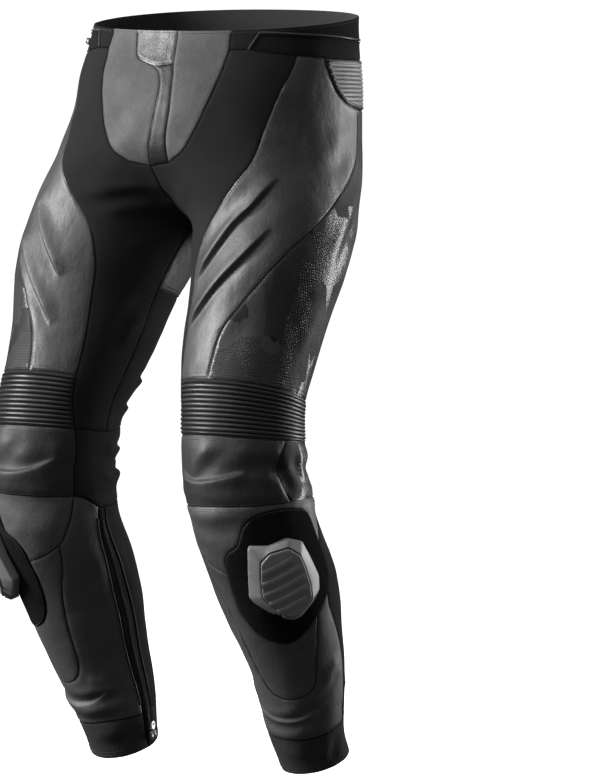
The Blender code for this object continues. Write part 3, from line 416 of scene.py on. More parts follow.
def all_seams():
    sampled = {}
    for name, points in SEAMS.items():
        dense = eased(points)
        dense[0], dense[-1] = points[0], points[-1]
        sampled[name] = evenly(dense, SEAM_STEP)
    for name, (kind, start, end) in CENTRE_SEAMS.items():
        sampled[name] = evenly(centre_curve(kind, start, end), SEAM_STEP)
    return sampled


SAMPLED = all_seams()


def across_front(points):
    """The same points named from the other half, past the centre front."""
    return np.stack([2 * centre_front(points[:, 1]) - points[:, 0], points[:, 1]], axis=1)


def across_back(points):
    return np.stack([2 * centre_back(points[:, 1]) - points[:, 0], points[:, 1]], axis=1)


def round_inseam(points, turn):
    return points + np.array([turn, 0.0])


def run_of(entry):
    """An entry of an outline: a seam's name, with - to run it backwards and a last letter for how it is renamed."""
    name, _, how = entry.lstrip("-").partition(":")
    points = SAMPLED[name]
    if how == "front":
        points = across_front(points)
    elif how == "back":
        points = across_back(points)
    elif how == "turn":
        points = round_inseam(points, 360.0)
    elif how == "unturn":
        points = round_inseam(points, -360.0)
    return points[::-1] if entry.startswith("-") else points


def outline_of(entries):
    """The closed outline, each junction once."""
    points = []
    for entry in entries:
        run = run_of(entry)
        if points:
            gap = np.abs(run[0] - points[-1])
            if gap.max() > 0.6:
                raise ValueError(f"{entry} starts {gap} away from the seam before it")
        points.extend(run if not points else run[1:])
    points = np.array(points)
    if np.abs(points[0] - points[-1]).max() > 0.6:
        raise ValueError(f"{entries} doesn't close: {points[0]} {points[-1]}")
    points = points[:-1]
    flat = to_flat(points[:, 0], points[:, 1])
    ahead = np.roll(flat, -1, axis=0)
    if (flat[:, 0] * ahead[:, 1] - flat[:, 1] * ahead[:, 0]).sum() < 0:
        points = points[::-1]
    return points


def inset_points(outline, gap):
    """The outline's points on the form, each moved in from the edge by the gap along the cloth."""
    placed = place(outline[:, 0], outline[:, 1])
    normals = outward(placed, outline[:, 1])
    before = np.roll(placed, 1, axis=0) - placed
    after = np.roll(placed, -1, axis=0) - placed
    inward_before = np.cross(normals, -before)
    inward_after = np.cross(normals, after)
    inward_before /= np.linalg.norm(inward_before, axis=1, keepdims=True)
    inward_after /= np.linalg.norm(inward_after, axis=1, keepdims=True)
    between = inward_before + inward_after
    between /= np.linalg.norm(between, axis=1, keepdims=True)
    widen = 1 / np.clip((between * inward_after).sum(axis=1), 0.45, 1)
    return placed + between * (gap * widen)[:, None], normals


def inside_polygon(points, polygon):
    x, y = points[:, 0][:, None], points[:, 1][:, None]
    x1, y1 = polygon[:, 0][None, :], polygon[:, 1][None, :]
    x2, y2 = np.roll(polygon[:, 0], -1)[None, :], np.roll(polygon[:, 1], -1)[None, :]
    crosses = (y1 > y) != (y2 > y)
    at = x1 + (y - y1) * (x2 - x1) / np.where(np.abs(y2 - y1) < 1e-12, 1e-12, y2 - y1)
    return ((x < at) & crosses).sum(axis=1) % 2 == 1


LEFT_AND_RIGHT = (("L", False), ("R", True))
PANELS = {
    "stretch_front": (
        "knit_stretch", "zip_stretch", "stretch_thigh", "stretch_ribs", "-stretch_bend", "-inseam_lower",
        "-inseam_upper", "-front_top", "-fly_end", "-yoke_stretch",
    ),
    "thigh": ("zip_thigh", "thigh_hip", "thigh_outer", "-thigh_ribs", "-stretch_thigh"),
    "hip_ribs": ("zip_hip", "-hip_seat", "-hip_outer", "-thigh_hip"),
    "outer_thigh": ("hip_outer", "outer_seat", "outer_back", "-outer_bend", "-outer_ribs", "-thigh_outer"),
    "seat": ("zip_seat", "back_top", "inseam_upper:turn", "-seat_back", "-outer_seat", "hip_seat"),
    "thigh_back": ("seat_back", "inseam_lower:turn", "-back_bend", "-outer_back"),
    "knee_ribs": ("thigh_ribs", "outer_ribs", "ribs_end", "-ribs_side", "-ribs_knee", "-stretch_ribs"),
    "knee": ("ribs_knee", "knee_side", "-knee_cup", "-knee_bend"),
    "knee_outer": ("ribs_side", "side_bend", "-side_cup", "-knee_side"),
    "knee_back": (
        "stretch_bend:turn", "knee_bend:turn", "-bend_shin:turn", "-bend_zip:turn", "-bend_calf", "-side_bend",
        "-ribs_end", "outer_bend", "back_bend",
    ),
    "knee_cup": ("knee_cup", "side_cup", "-cup_calf", "pad_cup", "-cup_front", "-cup_shin"),
    "shin_front": ("cup_front", "pad_front", "-front_shin"),
    "shin": ("bend_shin", "cup_shin", "front_shin", "pad_shin", "shin_calf", "-shin_cuff", "-shin_zip"),
    "calf": ("bend_calf", "calf_zip:turn", "-calf_cuff", "-shin_calf", "pad_calf", "cup_calf"),
    "calf_zip": ("bend_zip", "shin_zip", "cuff_zip", "-zip_hem", "-zip_cuff", "-calf_zip"),
    "cuff": ("shin_cuff", "calf_cuff", "zip_cuff:turn", "-cuff_hem", "-cuff_zip"),
    "slider_pad": ("pad_cup", "pad_front", "pad_shin", "pad_calf"),
}
YOKE_L = ("yoke_top", "yoke_knit", "yoke_stretch", "-fly_yoke", "-tab_yoke")
YOKE_R = (
    "yoke_top_other", "yoke_knit", "yoke_stretch", "fly_end", "-fly_foot:front", "-fly_other:front", "-tab_other:front",
)
FLY = ("tab_fly", "fly_yoke", "fly_end", "-fly_foot", "-fly_other")
TAB = ("tab_top", "tab_yoke", "-tab_fly", "-tab_other")
KNIT = (
    "knit_top", "-knit_top:back", "yoke_knit:back", "knit_stretch:back", "knit_end:back", "knit_zip:back",
    "-knit_zip", "-knit_end", "-knit_stretch", "-yoke_knit",
)
BAND = (
    "knit_end", "knit_zip", "-knit_zip:back", "-knit_end:back", "zip_stretch:back", "zip_thigh:back", "zip_hip:back",
    "zip_seat:back", "-zip_seat", "-zip_hip", "-zip_thigh", "-zip_stretch",
)

KNEE_RIBS = 12
HIP_RIBS = 12


def rib_share(pattern, top, bottom):
    """0 at the panel's top seam and 1 at its bottom one."""
    high = np.interp(pattern[:, 0], top[0], top[1])
    low = np.interp(pattern[:, 0], bottom[0], bottom[1])
    return (pattern[:, 1] - high) / (low - high)


KNEE_TOP, KNEE_BOTTOM = ((-145, 40), (441, 441)), ((-145, 40), (497, 497))
HIP_TOP, HIP_BOTTOM = ((-10, 20, 56), (41, 50, 58)), ((-10, 16, 30, 56), (104, 106, 108, 104))


# The hard slider on the knee's pad: outline of its foot, and the heights of its parts over the cloth.
PAD_LIFT = 1.5
SLIDER_FOOT = (
    (-61, 603), (-67, 629), (-73, 654), (-70, 661), (-61, 673), (-49, 685), (-44, 688), (-37, 686),
    (-24, 674), (-16, 665), (-12.5, 650), (-14, 626), (-17, 608), (-27, 602), (-45, 606),
)
SLIDER_MIDDLE = (-43.0, 645.0)
SLIDER_RIM, SLIDER_TOP, FACE_TOP = 13.0, 19.0, 21.5
REST_GAP = 0.4


def shrunk(loop, across, down):
    loop = np.array(loop, float)
    middle = np.array(SLIDER_MIDDLE)
    return middle + (loop - middle) * np.array([across, down])


# Pressed folds of the thigh leather and the knee, wearer's left and right: height, then bearing and drop along the crest.
FOLDS = {
    "thigh_L": (
        (4.0, ((-45, 196), (-65, 234), (-81, 261), (-93, 286), (-108, 314), (-118, 328))),
        (4.0, ((-56, 262), (-66, 289), (-80, 317), (-94, 341), (-110, 366), (-124, 385))),
    ),
    "thigh_R": (
        (4.0, ((-52, 222), (-64, 256), (-78, 289), (-89, 313), (-98, 334))),
        (4.0, ((-50, 272), (-60, 303), (-72, 336), (-84, 361), (-99, 391))),
    ),
    "knee_L": ((2.5, ((-135, 536), (-112, 543), (-84, 541), (-52, 533))),),
    "knee_R": ((2.5, ((-130, 530), (-105, 541), (-76, 544), (-44, 538))),),
    "seat": ((3.0, ((74, 236), (100, 262), (134, 279))),),
    "thigh_back": ((3.0, ((84, 400), (112, 418), (150, 425))), (3.0, ((76, 434), (110, 450), (150, 463)))),
    "knee_back": ((3.0, ((62, 492), (108, 512), (160, 520))), (3.0, ((66, 538), (112, 552), (176, 556)))),
    "shin": ((2.5, ((-128, 808), (-100, 820), (-66, 823), (-34, 815))),),
    "calf": ((2.5, ((40, 812), (80, 822), (130, 818))),),
}
CREST_STEP = 24.0
FOOT = 8.0  # from a crest to the bottom of its steep side
SLOPE = 15.0  # the spread of its gentle side


def frame_at(bearing, drop, heading):
    """A point on the cloth with three directions: across, along the heading in the cloth, and out."""
    here = place(bearing, drop)
    out = outward(here[None], np.array([drop]))[0]
    ahead = place(bearing + heading[0], drop + heading[1]) - here
    along = ahead - out * (ahead @ out)
    along /= np.linalg.norm(along)
    return here, np.cross(along, out), along, out


SLIDER_PROFILE = (
    (-4.2, 0.6), (4.2, 0.6), (4.2, 3.4), (3.6, 5.6), (2.4, 5.6),
    (2.4, 3.3), (-2.4, 3.3), (-2.4, 5.6), (-3.6, 5.6), (-4.2, 3.4),
)
PULL_PROFILE = (
    (-2.0, -0.8), (2.0, -0.8), (2.0, 5.5), (2.9, 7.0), (2.9, 15.0),
    (2.2, 16.0), (-2.2, 16.0), (-2.9, 15.0), (-2.9, 7.0), (-2.0, 5.5),
)
HINGE_HEIGHT = 4.5
PULL_HALF = 0.7




# Soft creases of the worn cloth, apart from the pressed folds: height (a trough is negative), spread, half, and the line.
CREASES = (
    # round the crotch and down the stretch fronts
    (1.6, 9, "L", ((-176, 262), (-150, 236), (-124, 222), (-104, 216))),
    (-1.4, 8, "L", ((-172, 282), (-146, 262), (-124, 250))),
    (1.3, 9, "L", ((-168, 330), (-150, 306), (-138, 290))),
    (2.4, 9, "R", ((-150, 216), (-122, 214), (-98, 226), (-76, 232))),
    (2.2, 8, "R", ((-164, 236), (-140, 236), (-114, 250), (-98, 252))),
    (-1.8, 8, "R", ((-156, 226), (-130, 226), (-104, 238))),
    (1.5, 9, "R", ((-176, 262), (-160, 272), (-140, 292))),
    (-1.4, 10, "R", ((-178, 330), (-164, 356), (-156, 392))),
    (1.8, 8, "R", ((-178, 352), (-169, 378), (-165, 404))),
    (1.2, 12, "R", ((-150, 340), (-146, 390), (-150, 430))),
    (1.2, 11, "L", ((-150, 352), (-144, 392), (-148, 436))),
    # the fronts of the hips and the belly
    (1.3, 13, "L", ((-60, 104), (-44, 136), (-28, 150))),
    (-1.1, 12, "L", ((-20, 120), (-24, 160), (-38, 200))),
    (1.4, 12, "L", ((2, 118), (-8, 150), (-24, 182))),
    (-1.2, 10, "L", ((14, 130), (6, 156), (-10, 184))),
    (1.2, 12, "R", ((-56, 96), (-44, 126), (-30, 140))),
    (1.4, 12, "R", ((-20, 96), (-30, 140), (-46, 178))),
    (-1.2, 11, "R", ((-8, 130), (-18, 168), (-34, 208))),
    # the outer thighs, drawn tight with long shallow waves
    (2.2, 9, "L", ((30, 168), (12, 214), (-4, 262), (-12, 300))),
    (-2.0, 8, "L", ((36, 190), (20, 232), (6, 276), (-2, 312))),
    (1.9, 9, "L", ((44, 214), (30, 258), (18, 300))),
    (-1.6, 9, "L", ((-14, 322), (-24, 352), (-26, 386))),
    (1.7, 10, "L", ((6, 330), (-6, 366), (-10, 408))),
    (1.6, 9, "L", ((26, 330), (16, 372), (14, 414))),
    (2.0, 10, "R", ((26, 176), (10, 220), (-6, 268))),
    (-1.8, 9, "R", ((38, 196), (22, 244), (8, 292))),
    (1.8, 10, "R", ((20, 318), (6, 356), (-2, 398))),
    (-1.5, 10, "R", ((40, 310), (30, 356), (28, 404))),
    # the fronts of the thighs below the pressed folds
    (1.3, 12, "L", ((-70, 352), (-80, 384), (-100, 412))),
    (-1.1, 11, "L", ((-60, 370), (-66, 400), (-70, 428))),
    (1.4, 11, "R", ((-66, 352), (-84, 392), (-104, 416))),
    (1.3, 11, "R", ((-32, 300), (-44, 352), (-50, 400))),
    (-1.2, 11, "R", ((-18, 330), (-26, 372), (-30, 420))),
    # over and under the knees
    (2.4, 9, "L", ((-76, 505), (-98, 520), (-116, 540))),
    (-2.2, 11, "L", ((-52, 505), (-72, 514), (-94, 531), (-110, 545))),
    (1.5, 10, "L", ((-40, 520), (-32, 535), (-34, 552))),
    (-1.6, 9, "L", ((-36, 512), (-26, 528), (-26, 546))),
    (1.5, 7, "L", ((-140, 574), (-104, 577), (-66, 571), (-28, 568))),
    (-1.4, 8, "L", ((-132, 588), (-96, 592), (-58, 586))),
    (2.0, 8, "L", ((-22, 514), (-8, 530), (2, 548), (4, 566))),
    (-2.4, 7, "L", ((-20, 524), (-14, 540), (-12, 562))),
    (1.9, 7, "L", ((2, 506), (12, 524), (18, 548))),
    (-2.2, 8, "L", ((-4, 506), (4, 526), (10, 552))),
    (1.6, 8, "L", ((20, 504), (27, 528), (30, 556))),
    (1.8, 10, "R", ((-124, 508), (-132, 524), (-136, 540))),
    (-1.6, 10, "R", ((-96, 506), (-88, 520), (-70, 528))),
    (1.7, 9, "R", ((-58, 508), (-72, 516), (-88, 516))),
    (1.6, 7, "R", ((-142, 567), (-104, 561), (-66, 559), (-30, 560))),
    (-1.4, 8, "R", ((-136, 582), (-100, 580), (-60, 578))),
    (1.8, 8, "R", ((-18, 516), (-4, 532), (4, 556))),
    (-2.0, 8, "R", ((0, 506), (10, 530), (14, 558))),
    # the insides of the knees
    (2.3, 9, "R", ((176, 512), (166, 520), (148, 522))),
    (-2.4, 8, "R", ((-178, 534), (172, 532), (150, 536))),
    (2.2, 9, "R", ((-176, 552), (174, 552), (152, 556))),
    (-2.0, 8, "R", ((-170, 566), (-178, 570), (166, 570))),
    (1.8, 8, "R", ((-160, 584), (-170, 578), (-179, 586))),
    (2.2, 9, "L", ((-176, 508), (172, 516), (148, 520))),
    (-2.2, 8, "L", ((-172, 528), (176, 532), (146, 540))),
    (2.0, 9, "L", ((-168, 548), (-178, 554), (158, 560))),
    (1.7, 8, "L", ((-162, 572), (-172, 574), (174, 580))),
    # the cups over the knees and the shins
    (1.3, 10, "R", ((-132, 606), (-112, 600), (-92, 606))),
    (1.2, 9, "R", ((-100, 590), (-84, 604), (-76, 598))),
    (-1.2, 10, "L", ((-136, 604), (-118, 612), (-98, 612))),
    (1.4, 9, "L", ((-110, 640), (-100, 664), (-98, 690))),
    (-1.2, 9, "L", ((-122, 650), (-114, 690), (-108, 722))),
    (1.3, 10, "L", ((-138, 640), (-130, 690), (-126, 740))),
    (1.4, 10, "R", ((-150, 610), (-156, 650), (-152, 700))),
    (-1.2, 10, "R", ((-142, 640), (-144, 690), (-140, 740))),
    (1.1, 14, "R", ((-124, 690), (-122, 730), (-126, 770))),
    # above the cuffs
    (2.4, 7, "R", ((-150, 806), (-118, 803), (-90, 806), (-66, 798))),
    (-2.2, 7, "R", ((-158, 818), (-124, 816), (-92, 818), (-56, 812))),
    (2.3, 7, "R", ((-160, 829), (-120, 828), (-84, 831), (-40, 826))),
    (-1.8, 6, "R", ((-150, 840), (-112, 840), (-76, 842))),
    (1.6, 6, "R", ((-140, 790), (-120, 792), (-102, 788))),
    (2.3, 7, "L", ((-150, 800), (-122, 808), (-98, 812), (-70, 810), (-44, 800))),
    (-2.0, 7, "L", ((-146, 814), (-112, 826), (-76, 829), (-36, 822), (-12, 806))),
    (2.2, 7, "L", ((-156, 826), (-116, 838), (-72, 840), (-22, 832))),
    (1.9, 8, "L", ((-30, 790), (-12, 776), (2, 756))),
    (-1.6, 8, "L", ((-40, 804), (-18, 794), (2, 780))),
    (1.6, 8, "L", ((-160, 780), (-142, 790), (-120, 794))),
    # the calves
    (1.9, 10, "L", ((24, 640), (34, 690), (36, 740))),
    (-1.8, 10, "L", ((52, 650), (60, 700), (58, 760))),
    (1.8, 11, "L", ((90, 690), (104, 740), (100, 790))),
    (2.0, 8, "L", ((28, 800), (60, 812), (100, 806))),
    (-1.8, 8, "L", ((30, 824), (74, 832), (120, 824))),
    (1.7, 10, "L", ((140, 640), (150, 700), (146, 760))),
    (1.9, 10, "R", ((30, 650), (40, 700), (38, 756))),
    (-1.8, 10, "R", ((60, 640), (72, 690), (70, 750))),
    (1.8, 11, "R", ((110, 660), (122, 720), (116, 790))),
    (2.0, 8, "R", ((34, 806), (78, 816), (120, 806))),
    (-1.6, 8, "R", ((50, 830), (92, 834), (138, 826))),
    (1.7, 10, "R", ((150, 640), (164, 700), (160, 770))),
    (1.6, 7, "R", ((176, 620), (172, 680), (170, 730))),
    # the seat and the backs of the thighs
    (2.2, 12, "L", ((66, 120), (86, 150), (104, 170))),
    (-2.0, 11, "L", ((70, 168), (92, 196), (112, 210))),
    (2.4, 11, "L", ((76, 262), (104, 286), (150, 298))),
    (-2.2, 10, "L", ((80, 288), (112, 306), (156, 314))),
    (2.2, 11, "L", ((72, 350), (100, 366), (140, 376))),
    (-2.0, 10, "L", ((76, 374), (108, 390), (150, 398))),
    (1.8, 10, "L", ((100, 224), (124, 240), (146, 246))),
    (2.2, 12, "R", ((64, 128), (84, 160), (100, 182))),
    (-2.0, 11, "R", ((72, 180), (94, 204), (116, 214))),
    (2.4, 11, "R", ((80, 258), (108, 278), (148, 286))),
    (-2.2, 10, "R", ((76, 296), (106, 316), (150, 322))),
    (2.2, 11, "R", ((74, 344), (104, 356), (144, 362))),
    (-2.0, 10, "R", ((78, 380), (110, 396), (150, 400))),
    (2.6, 9, "L", ((70, 470), (110, 492), (160, 500))),
    (-2.6, 9, "L", ((66, 504), (104, 524), (156, 532))),
    (2.4, 9, "L", ((60, 520), (100, 540), (150, 546))),
    (-2.2, 9, "L", ((70, 552), (110, 566), (156, 570))),
    (2.6, 9, "R", ((68, 476), (112, 496), (158, 506))),
    (-2.6, 9, "R", ((64, 508), (108, 530), (150, 536))),
    (2.4, 9, "R", ((62, 530), (102, 546), (148, 548))),
    (-2.2, 9, "R", ((66, 556), (112, 570), (158, 572))),
    # the cuffs
    (1.6, 8, "L", ((-10, 892), (2, 872), (10, 856))),
    (-1.5, 7, "L", ((-24, 892), (-12, 872), (-4, 856))),
    (1.5, 8, "L", ((-40, 884), (-28, 868), (-18, 858))),
    (1.2, 9, "L", ((-110, 862), (-80, 866), (-50, 864))),
    (1.5, 8, "R", ((-140, 858), (-110, 862), (-80, 858))),
    (-1.3, 8, "R", ((-150, 872), (-112, 876), (-76, 870))),
    (1.2, 9, "R", ((20, 884), (40, 868), (60, 858))),
    (1.2, 9, "L", ((60, 884), (90, 866), (120, 858))),
)
FOLD_FOOT = 4.0
FOLD_SLOPE = 11.0
FOLD_ROWS = (-9.0, -6.0, -3.6, -1.8, 0.0, 1.3, 2.8, 4.4, 6.4, 9.0)
WAVES = 14


def unit(vectors):
    return vectors / np.maximum(np.linalg.norm(vectors, axis=-1, keepdims=True), 1e-9)


def mirrored_x(points):
    return points * np.array([-1.0, 1.0, 1.0])


def line_on(points, half, step=5.0):
    """A crease's line in space, on the wearer's left or right half."""
    pattern = evenly(eased(points, 12), step)
    placed = place(pattern[:, 0], pattern[:, 1])
    return placed if half == "L" else mirrored_x(placed)


def near_line(points, line, closed):
    """How far each point is from a polyline, and how far along it the nearest place is, in steps."""
    starts = line if closed else line[:-1]
    edge = (np.roll(line, -1, axis=0) if closed else line[1:]) - starts
    length = np.maximum((edge**2).sum(axis=1), 1e-9)
    distance, along = np.empty(len(points)), np.empty(len(points))
    for first in range(0, len(points), 1500):
        here = points[first : first + 1500]
        offset = here[:, None] - starts[None]
        share = np.clip((offset * edge[None]).sum(axis=2) / length, 0, 1)
        gap = ((offset - share[..., None] * edge[None]) ** 2).sum(axis=2)
        nearest = gap.argmin(axis=1)
        rows = np.arange(len(here))
        distance[first : first + 1500] = np.sqrt(gap[rows, nearest])
        along[first : first + 1500] = nearest + share[rows, nearest]
    return distance, along


CREASE_LINES = [(height, spread, line_on(points, half)) for height, spread, half, points in CREASES]
WAVE_RANDOM = np.random.default_rng(11)
WAVE_WAYS = unit(WAVE_RANDOM.normal(size=(WAVES, 3)))
WAVE_LENGTHS = WAVE_RANDOM.uniform(26, 110, WAVES)
WAVE_STARTS = WAVE_RANDOM.uniform(0, 2 * math.pi, WAVES)


def creases_at(points):
    """The lift of the worn cloth at points in space: the soft creases and a slow unevenness."""
    lift = np.zeros(len(points))
    for height, spread, line in CREASE_LINES:
        reach = 2.6 * spread
        near = ((points > line.min(axis=0) - reach) & (points < line.max(axis=0) + reach)).all(axis=1)
        if not near.any():
            continue
        distance, along = near_line(points[near], line, False)
        ends = np.clip(np.minimum(along, len(line) - 1 - along) / (0.34 * (len(line) - 1)), 0, 1)
        ends = ends * ends * (3 - 2 * ends)
        lift[near] += height * ends * np.exp(-((distance / spread) ** 2))
    phase = points @ WAVE_WAYS.T * (2 * math.pi / WAVE_LENGTHS) + WAVE_STARTS
    return lift + np.sin(phase) @ (WAVE_LENGTHS / WAVE_LENGTHS.sum()) * 1.5


def folds_at(points, normals, name, half):
    """The pressed folds of a piece, steep on one side of the crest and gentle on the other."""
    lift = np.zeros(len(points))
    turn = 1.0 if half == "L" else -1.0
    for height, line in FOLDS.get(f"{name}_{half}", FOLDS.get(name, ())):
        crest = line_on(line, half, 4.0)
        distance, along = near_line(points, crest, False)
        nearest = np.clip(np.round(along).astype(int), 0, len(crest) - 1)
        offset = points - crest[nearest]
        ahead = np.gradient(crest, axis=0)[nearest]
        over = turn * (np.cross(ahead, offset) * normals).sum(axis=1)
        steep = np.clip(1 - distance / FOLD_FOOT, 0, 1)
        steep = steep * steep * (3 - 2 * steep)
        past = distance - FOLD_FOOT - 1.5
        under = -0.42 * np.exp(-((past / np.where(past > 0, 8.0, 2.6)) ** 2))
        gentle = np.exp(-((distance / FOLD_SLOPE) ** 2))
        share = np.clip(along / (len(crest) - 1), 0, 1)
        ends = np.clip(np.minimum(share, 1 - share) / 0.16, 0, 1) ** 0.8
        lift += 1.15 * height * ends * np.where(over > 0, steep + under, gentle)
    return lift


def to_pattern(pattern, moved):
    """The bearing and drop of points a short way off from points of the pattern, and whether that was found well."""
    bearing, drop = pattern[:, 0], pattern[:, 1]
    here = place(bearing, drop)
    high, low = np.minimum(drop + 0.3, HEM_DROP), np.maximum(drop - 0.3, 0)
    by_bearing = (place(bearing + 0.05, drop) - place(bearing - 0.05, drop)) / 0.1
    by_drop = (place(bearing, high) - place(bearing, low)) / (high - low)[:, None]
    way = moved - here
    a, b, c = (by_bearing**2).sum(1), (by_bearing * by_drop).sum(1), (by_drop**2).sum(1)
    p, q = (by_bearing * way).sum(1), (by_drop * way).sum(1)
    scale = np.where(np.abs(a * c - b * b) < 1e-9, 1e9, a * c - b * b)
    found = np.stack([bearing + (p * c - q * b) / scale, drop + (q * a - p * b) / scale], axis=1)
    found[:, 1] = np.clip(found[:, 1], 0, HEM_DROP)
    reached = place(found[:, 0], found[:, 1])
    good = np.linalg.norm(reached - moved, axis=1) < 0.3 + 0.12 * np.linalg.norm(way, axis=1)
    return found, good


def rows_inside(outline, step, squeeze, across):
    """Staggered rows of points inside an outline. across is their spacing along a row."""
    flat = to_flat(outline[:, 0], outline[:, 1])
    low, high = outline[:, 1].min(), outline[:, 1].max()
    count = max(2, round((high - low) / step))
    rows = []
    for k in range(1, count):
        drop = low + (high - low) * k / count
        scale = to_flat(np.array([1.0]), np.array([drop]))[0, 0]
        first, last = outline[:, 0].min() * scale, outline[:, 0].max() * scale
        row = np.arange(first + across / 2 * (1 + k % 2), last, across) / scale
        rows.append(np.stack([row, np.full(row.shape, drop)], axis=1))
    points = np.vstack(rows)
    points = points[inside_polygon(to_flat(points[:, 0], points[:, 1]), flat)]
    return points[near_line(to_flat(points[:, 0], points[:, 1]), flat, True)[0] > 3.4]


def clear_of(points, others, gap):
    """Which points are further than a gap from every one of the others."""
    flat, other = to_flat(points[:, 0], points[:, 1]), to_flat(others[:, 0], others[:, 1])
    clear = np.ones(len(points), bool)
    for first in range(0, len(points), 2000):
        here = flat[first : first + 2000]
        clear[first : first + 2000] = (((here[:, None] - other[None]) ** 2).sum(axis=2) > gap * gap).all(axis=1)
    return clear


def rows_by_folds(key, half, outline):
    """Closer rows of points along a piece's pressed folds."""
    flat = to_flat(outline[:, 0], outline[:, 1])
    found = []
    for _, line in FOLDS.get(f"{key}_{half}", FOLDS.get(key, ())):
        pattern = evenly(eased(line, 12), 2.6)
        placed = place(pattern[:, 0], pattern[:, 1])
        normals = outward(placed, pattern[:, 1])
        across = unit(np.cross(np.gradient(placed, axis=0), normals))
        for gap in FOLD_ROWS:
            moved, good = to_pattern(pattern, placed - across * gap)
            good &= inside_polygon(to_flat(moved[:, 0], moved[:, 1]), flat)
            good &= near_line(to_flat(moved[:, 0], moved[:, 1]), flat, True)[0] > 3.4
            found.append(moved[good])
    found = np.vstack(found) if found else np.zeros((0, 2))
    kept = []
    spots = to_flat(found[:, 0], found[:, 1]) if len(found) else found
    taken = np.zeros((0, 2))
    for k in range(len(found)):
        if len(taken) == 0 or ((taken - spots[k]) ** 2).sum(axis=1).min() > 1.0:
            kept.append(k)
            taken = np.vstack([taken, spots[k]])
    return found[kept]


def rows_along_ribs(outline, top, bottom, count, across):
    """Rows that follow the ribs, RIB_ROWS to each."""
    flat = to_flat(outline[:, 0], outline[:, 1])
    bearings = np.arange(outline[:, 0].min(), outline[:, 0].max(), across / to_flat(np.array([1.0]), outline[:1, 1])[0, 0])
    high = np.interp(bearings, top[0], top[1])
    low = np.interp(bearings, bottom[0], bottom[1])
    share = np.arange(1, RIB_ROWS * count) / (RIB_ROWS * count)
    drop = high[None] + (low - high)[None] * share[:, None]
    points = np.stack([np.broadcast_to(bearings, drop.shape), drop], axis=-1).reshape(-1, 2)
    points = points[inside_polygon(to_flat(points[:, 0], points[:, 1]), flat)]
    return points[near_line(to_flat(points[:, 0], points[:, 1]), flat, True)[0] > 0.9]


def triangles_over(outline, inner, squeeze):
    """Triangles of the outline and the points inside it. squeeze stretches the map down the drop first, for close rows."""
    pattern = np.vstack([outline, inner])
    flat = to_flat(pattern[:, 0], pattern[:, 1]) * np.array([1.0, squeeze])
    count = len(outline)
    edges = [(i, (i + 1) % count) for i in range(count)]
    found = delaunay_2d_cdt([Vector(p) for p in flat], edges, [], 1, 1e-5)
    order = np.array([olds[0] if olds else -1 for olds in found[3]])
    if (order < 0).any():
        raise ValueError("two edges of an outline cross")
    triangles = order[np.array([tuple(face) for face in found[2]])]
    a, b, c = flat[triangles[:, 0]], flat[triangles[:, 1]], flat[triangles[:, 2]]
    turned = (b[:, 0] - a[:, 0]) * (c[:, 1] - a[:, 1]) - (b[:, 1] - a[:, 1]) * (c[:, 0] - a[:, 0])
    triangles[turned < 0] = triangles[turned < 0][:, ::-1]
    return pattern, triangles[np.abs(turned) > 1e-7]


RIB_ROWS = 8
# name: (ribs' top seam, bottom seam, count, height)
RIBS = {"knee_ribs": (KNEE_TOP, KNEE_BOTTOM, KNEE_RIBS, 2.7), "hip_ribs": (HIP_TOP, HIP_BOTTOM, HIP_RIBS, 2.2)}
PIPING = 5.0
# How far the cloth puckers beside its seams, and how thick its turned edge stands.
LEATHER_EDGE, STRETCH_EDGE = (0.24, 0.12), (0.22, 0.04)
EDGES = {
    "stretch_front": STRETCH_EDGE, "thigh_back": STRETCH_EDGE, "knee_back": STRETCH_EDGE, "calf": STRETCH_EDGE,
    "cuff": (0.2, 0.1), "waistband_knit": (0.25, 0.1), "connector_band": (0.1, 0.15), "calf_zip": (0.06, 0.1),
    "slider_pad": (0.0, 0.2), "knee_ribs": (0.08, 0.1), "hip_ribs": (0.06, 0.5),
}
SEAM_DIP, DIP_WIDTH = 0.95, 1.5


def rib_height(name, pattern, distance):
    top, bottom, count, height = RIBS[name]
    share = np.clip(rib_share(pattern, top, bottom), 0, 1) * count
    across = share % 1.0
    roll = np.sqrt(np.clip(1 - (2 * across - 1) ** 2, 0, 1))
    start = PIPING if name == "hip_ribs" else 1.0
    depth = np.clip((distance - start) / 2.5, 0, 1)
    border = 1.1 * np.exp(-(((distance - 3.0) / 1.8) ** 4)) if name == "hip_ribs" else 0.0
    return height * (roll - 0.36) * depth + border


def seam_profile(distance, stand):
    """The turned edge beside a seam: it dips into the stitches and stands a little proud behind them."""
    return -SEAM_DIP * np.exp(-((distance / DIP_WIDTH) ** 2)) + stand * np.exp(-(((distance - 4.0) / 2.6) ** 2))


def smooth_noise(count, wavelength, seed):
    """A smooth closed run of random numbers, one for each step of a loop."""
    random = np.random.default_rng(seed)
    knots = max(4, round(count / wavelength))
    values = random.normal(size=knots)
    spot = np.arange(count) * knots / count
    low = spot.astype(int)
    part = spot - low
    part = part * part * (3 - 2 * part)
    return values[low % knots] * (1 - part) + values[(low + 1) % knots] * part


def seed_of(name):
    return sum((i + 1) * ord(letter) for i, letter in enumerate(name))


def surface_lift(name, half, pattern, points, normals, distance, along, loop_length):
    """How far the outer face stands off the form. points are in space on their own half."""
    base = name
    pucker, stand = EDGES.get(base, LEATHER_EDGE)
    lift = seam_profile(distance, stand)
    wave = np.interp(along, np.arange(loop_length + 1), np.append(*(lambda n: (n, n[0]))(smooth_noise(loop_length, 2.6, seed_of(name + half)))))
    lift += pucker * wave * np.exp(-distance / 7.0) * np.clip(distance / 1.5, 0, 1)
    easing = np.clip(distance / 6.0, 0, 1)
    easing = easing * easing * (3 - 2 * easing)
    lift += folds_at(points, normals, base, half) * easing
    if base in RIBS:
        lift += rib_height(base, pattern, distance)
    return lift


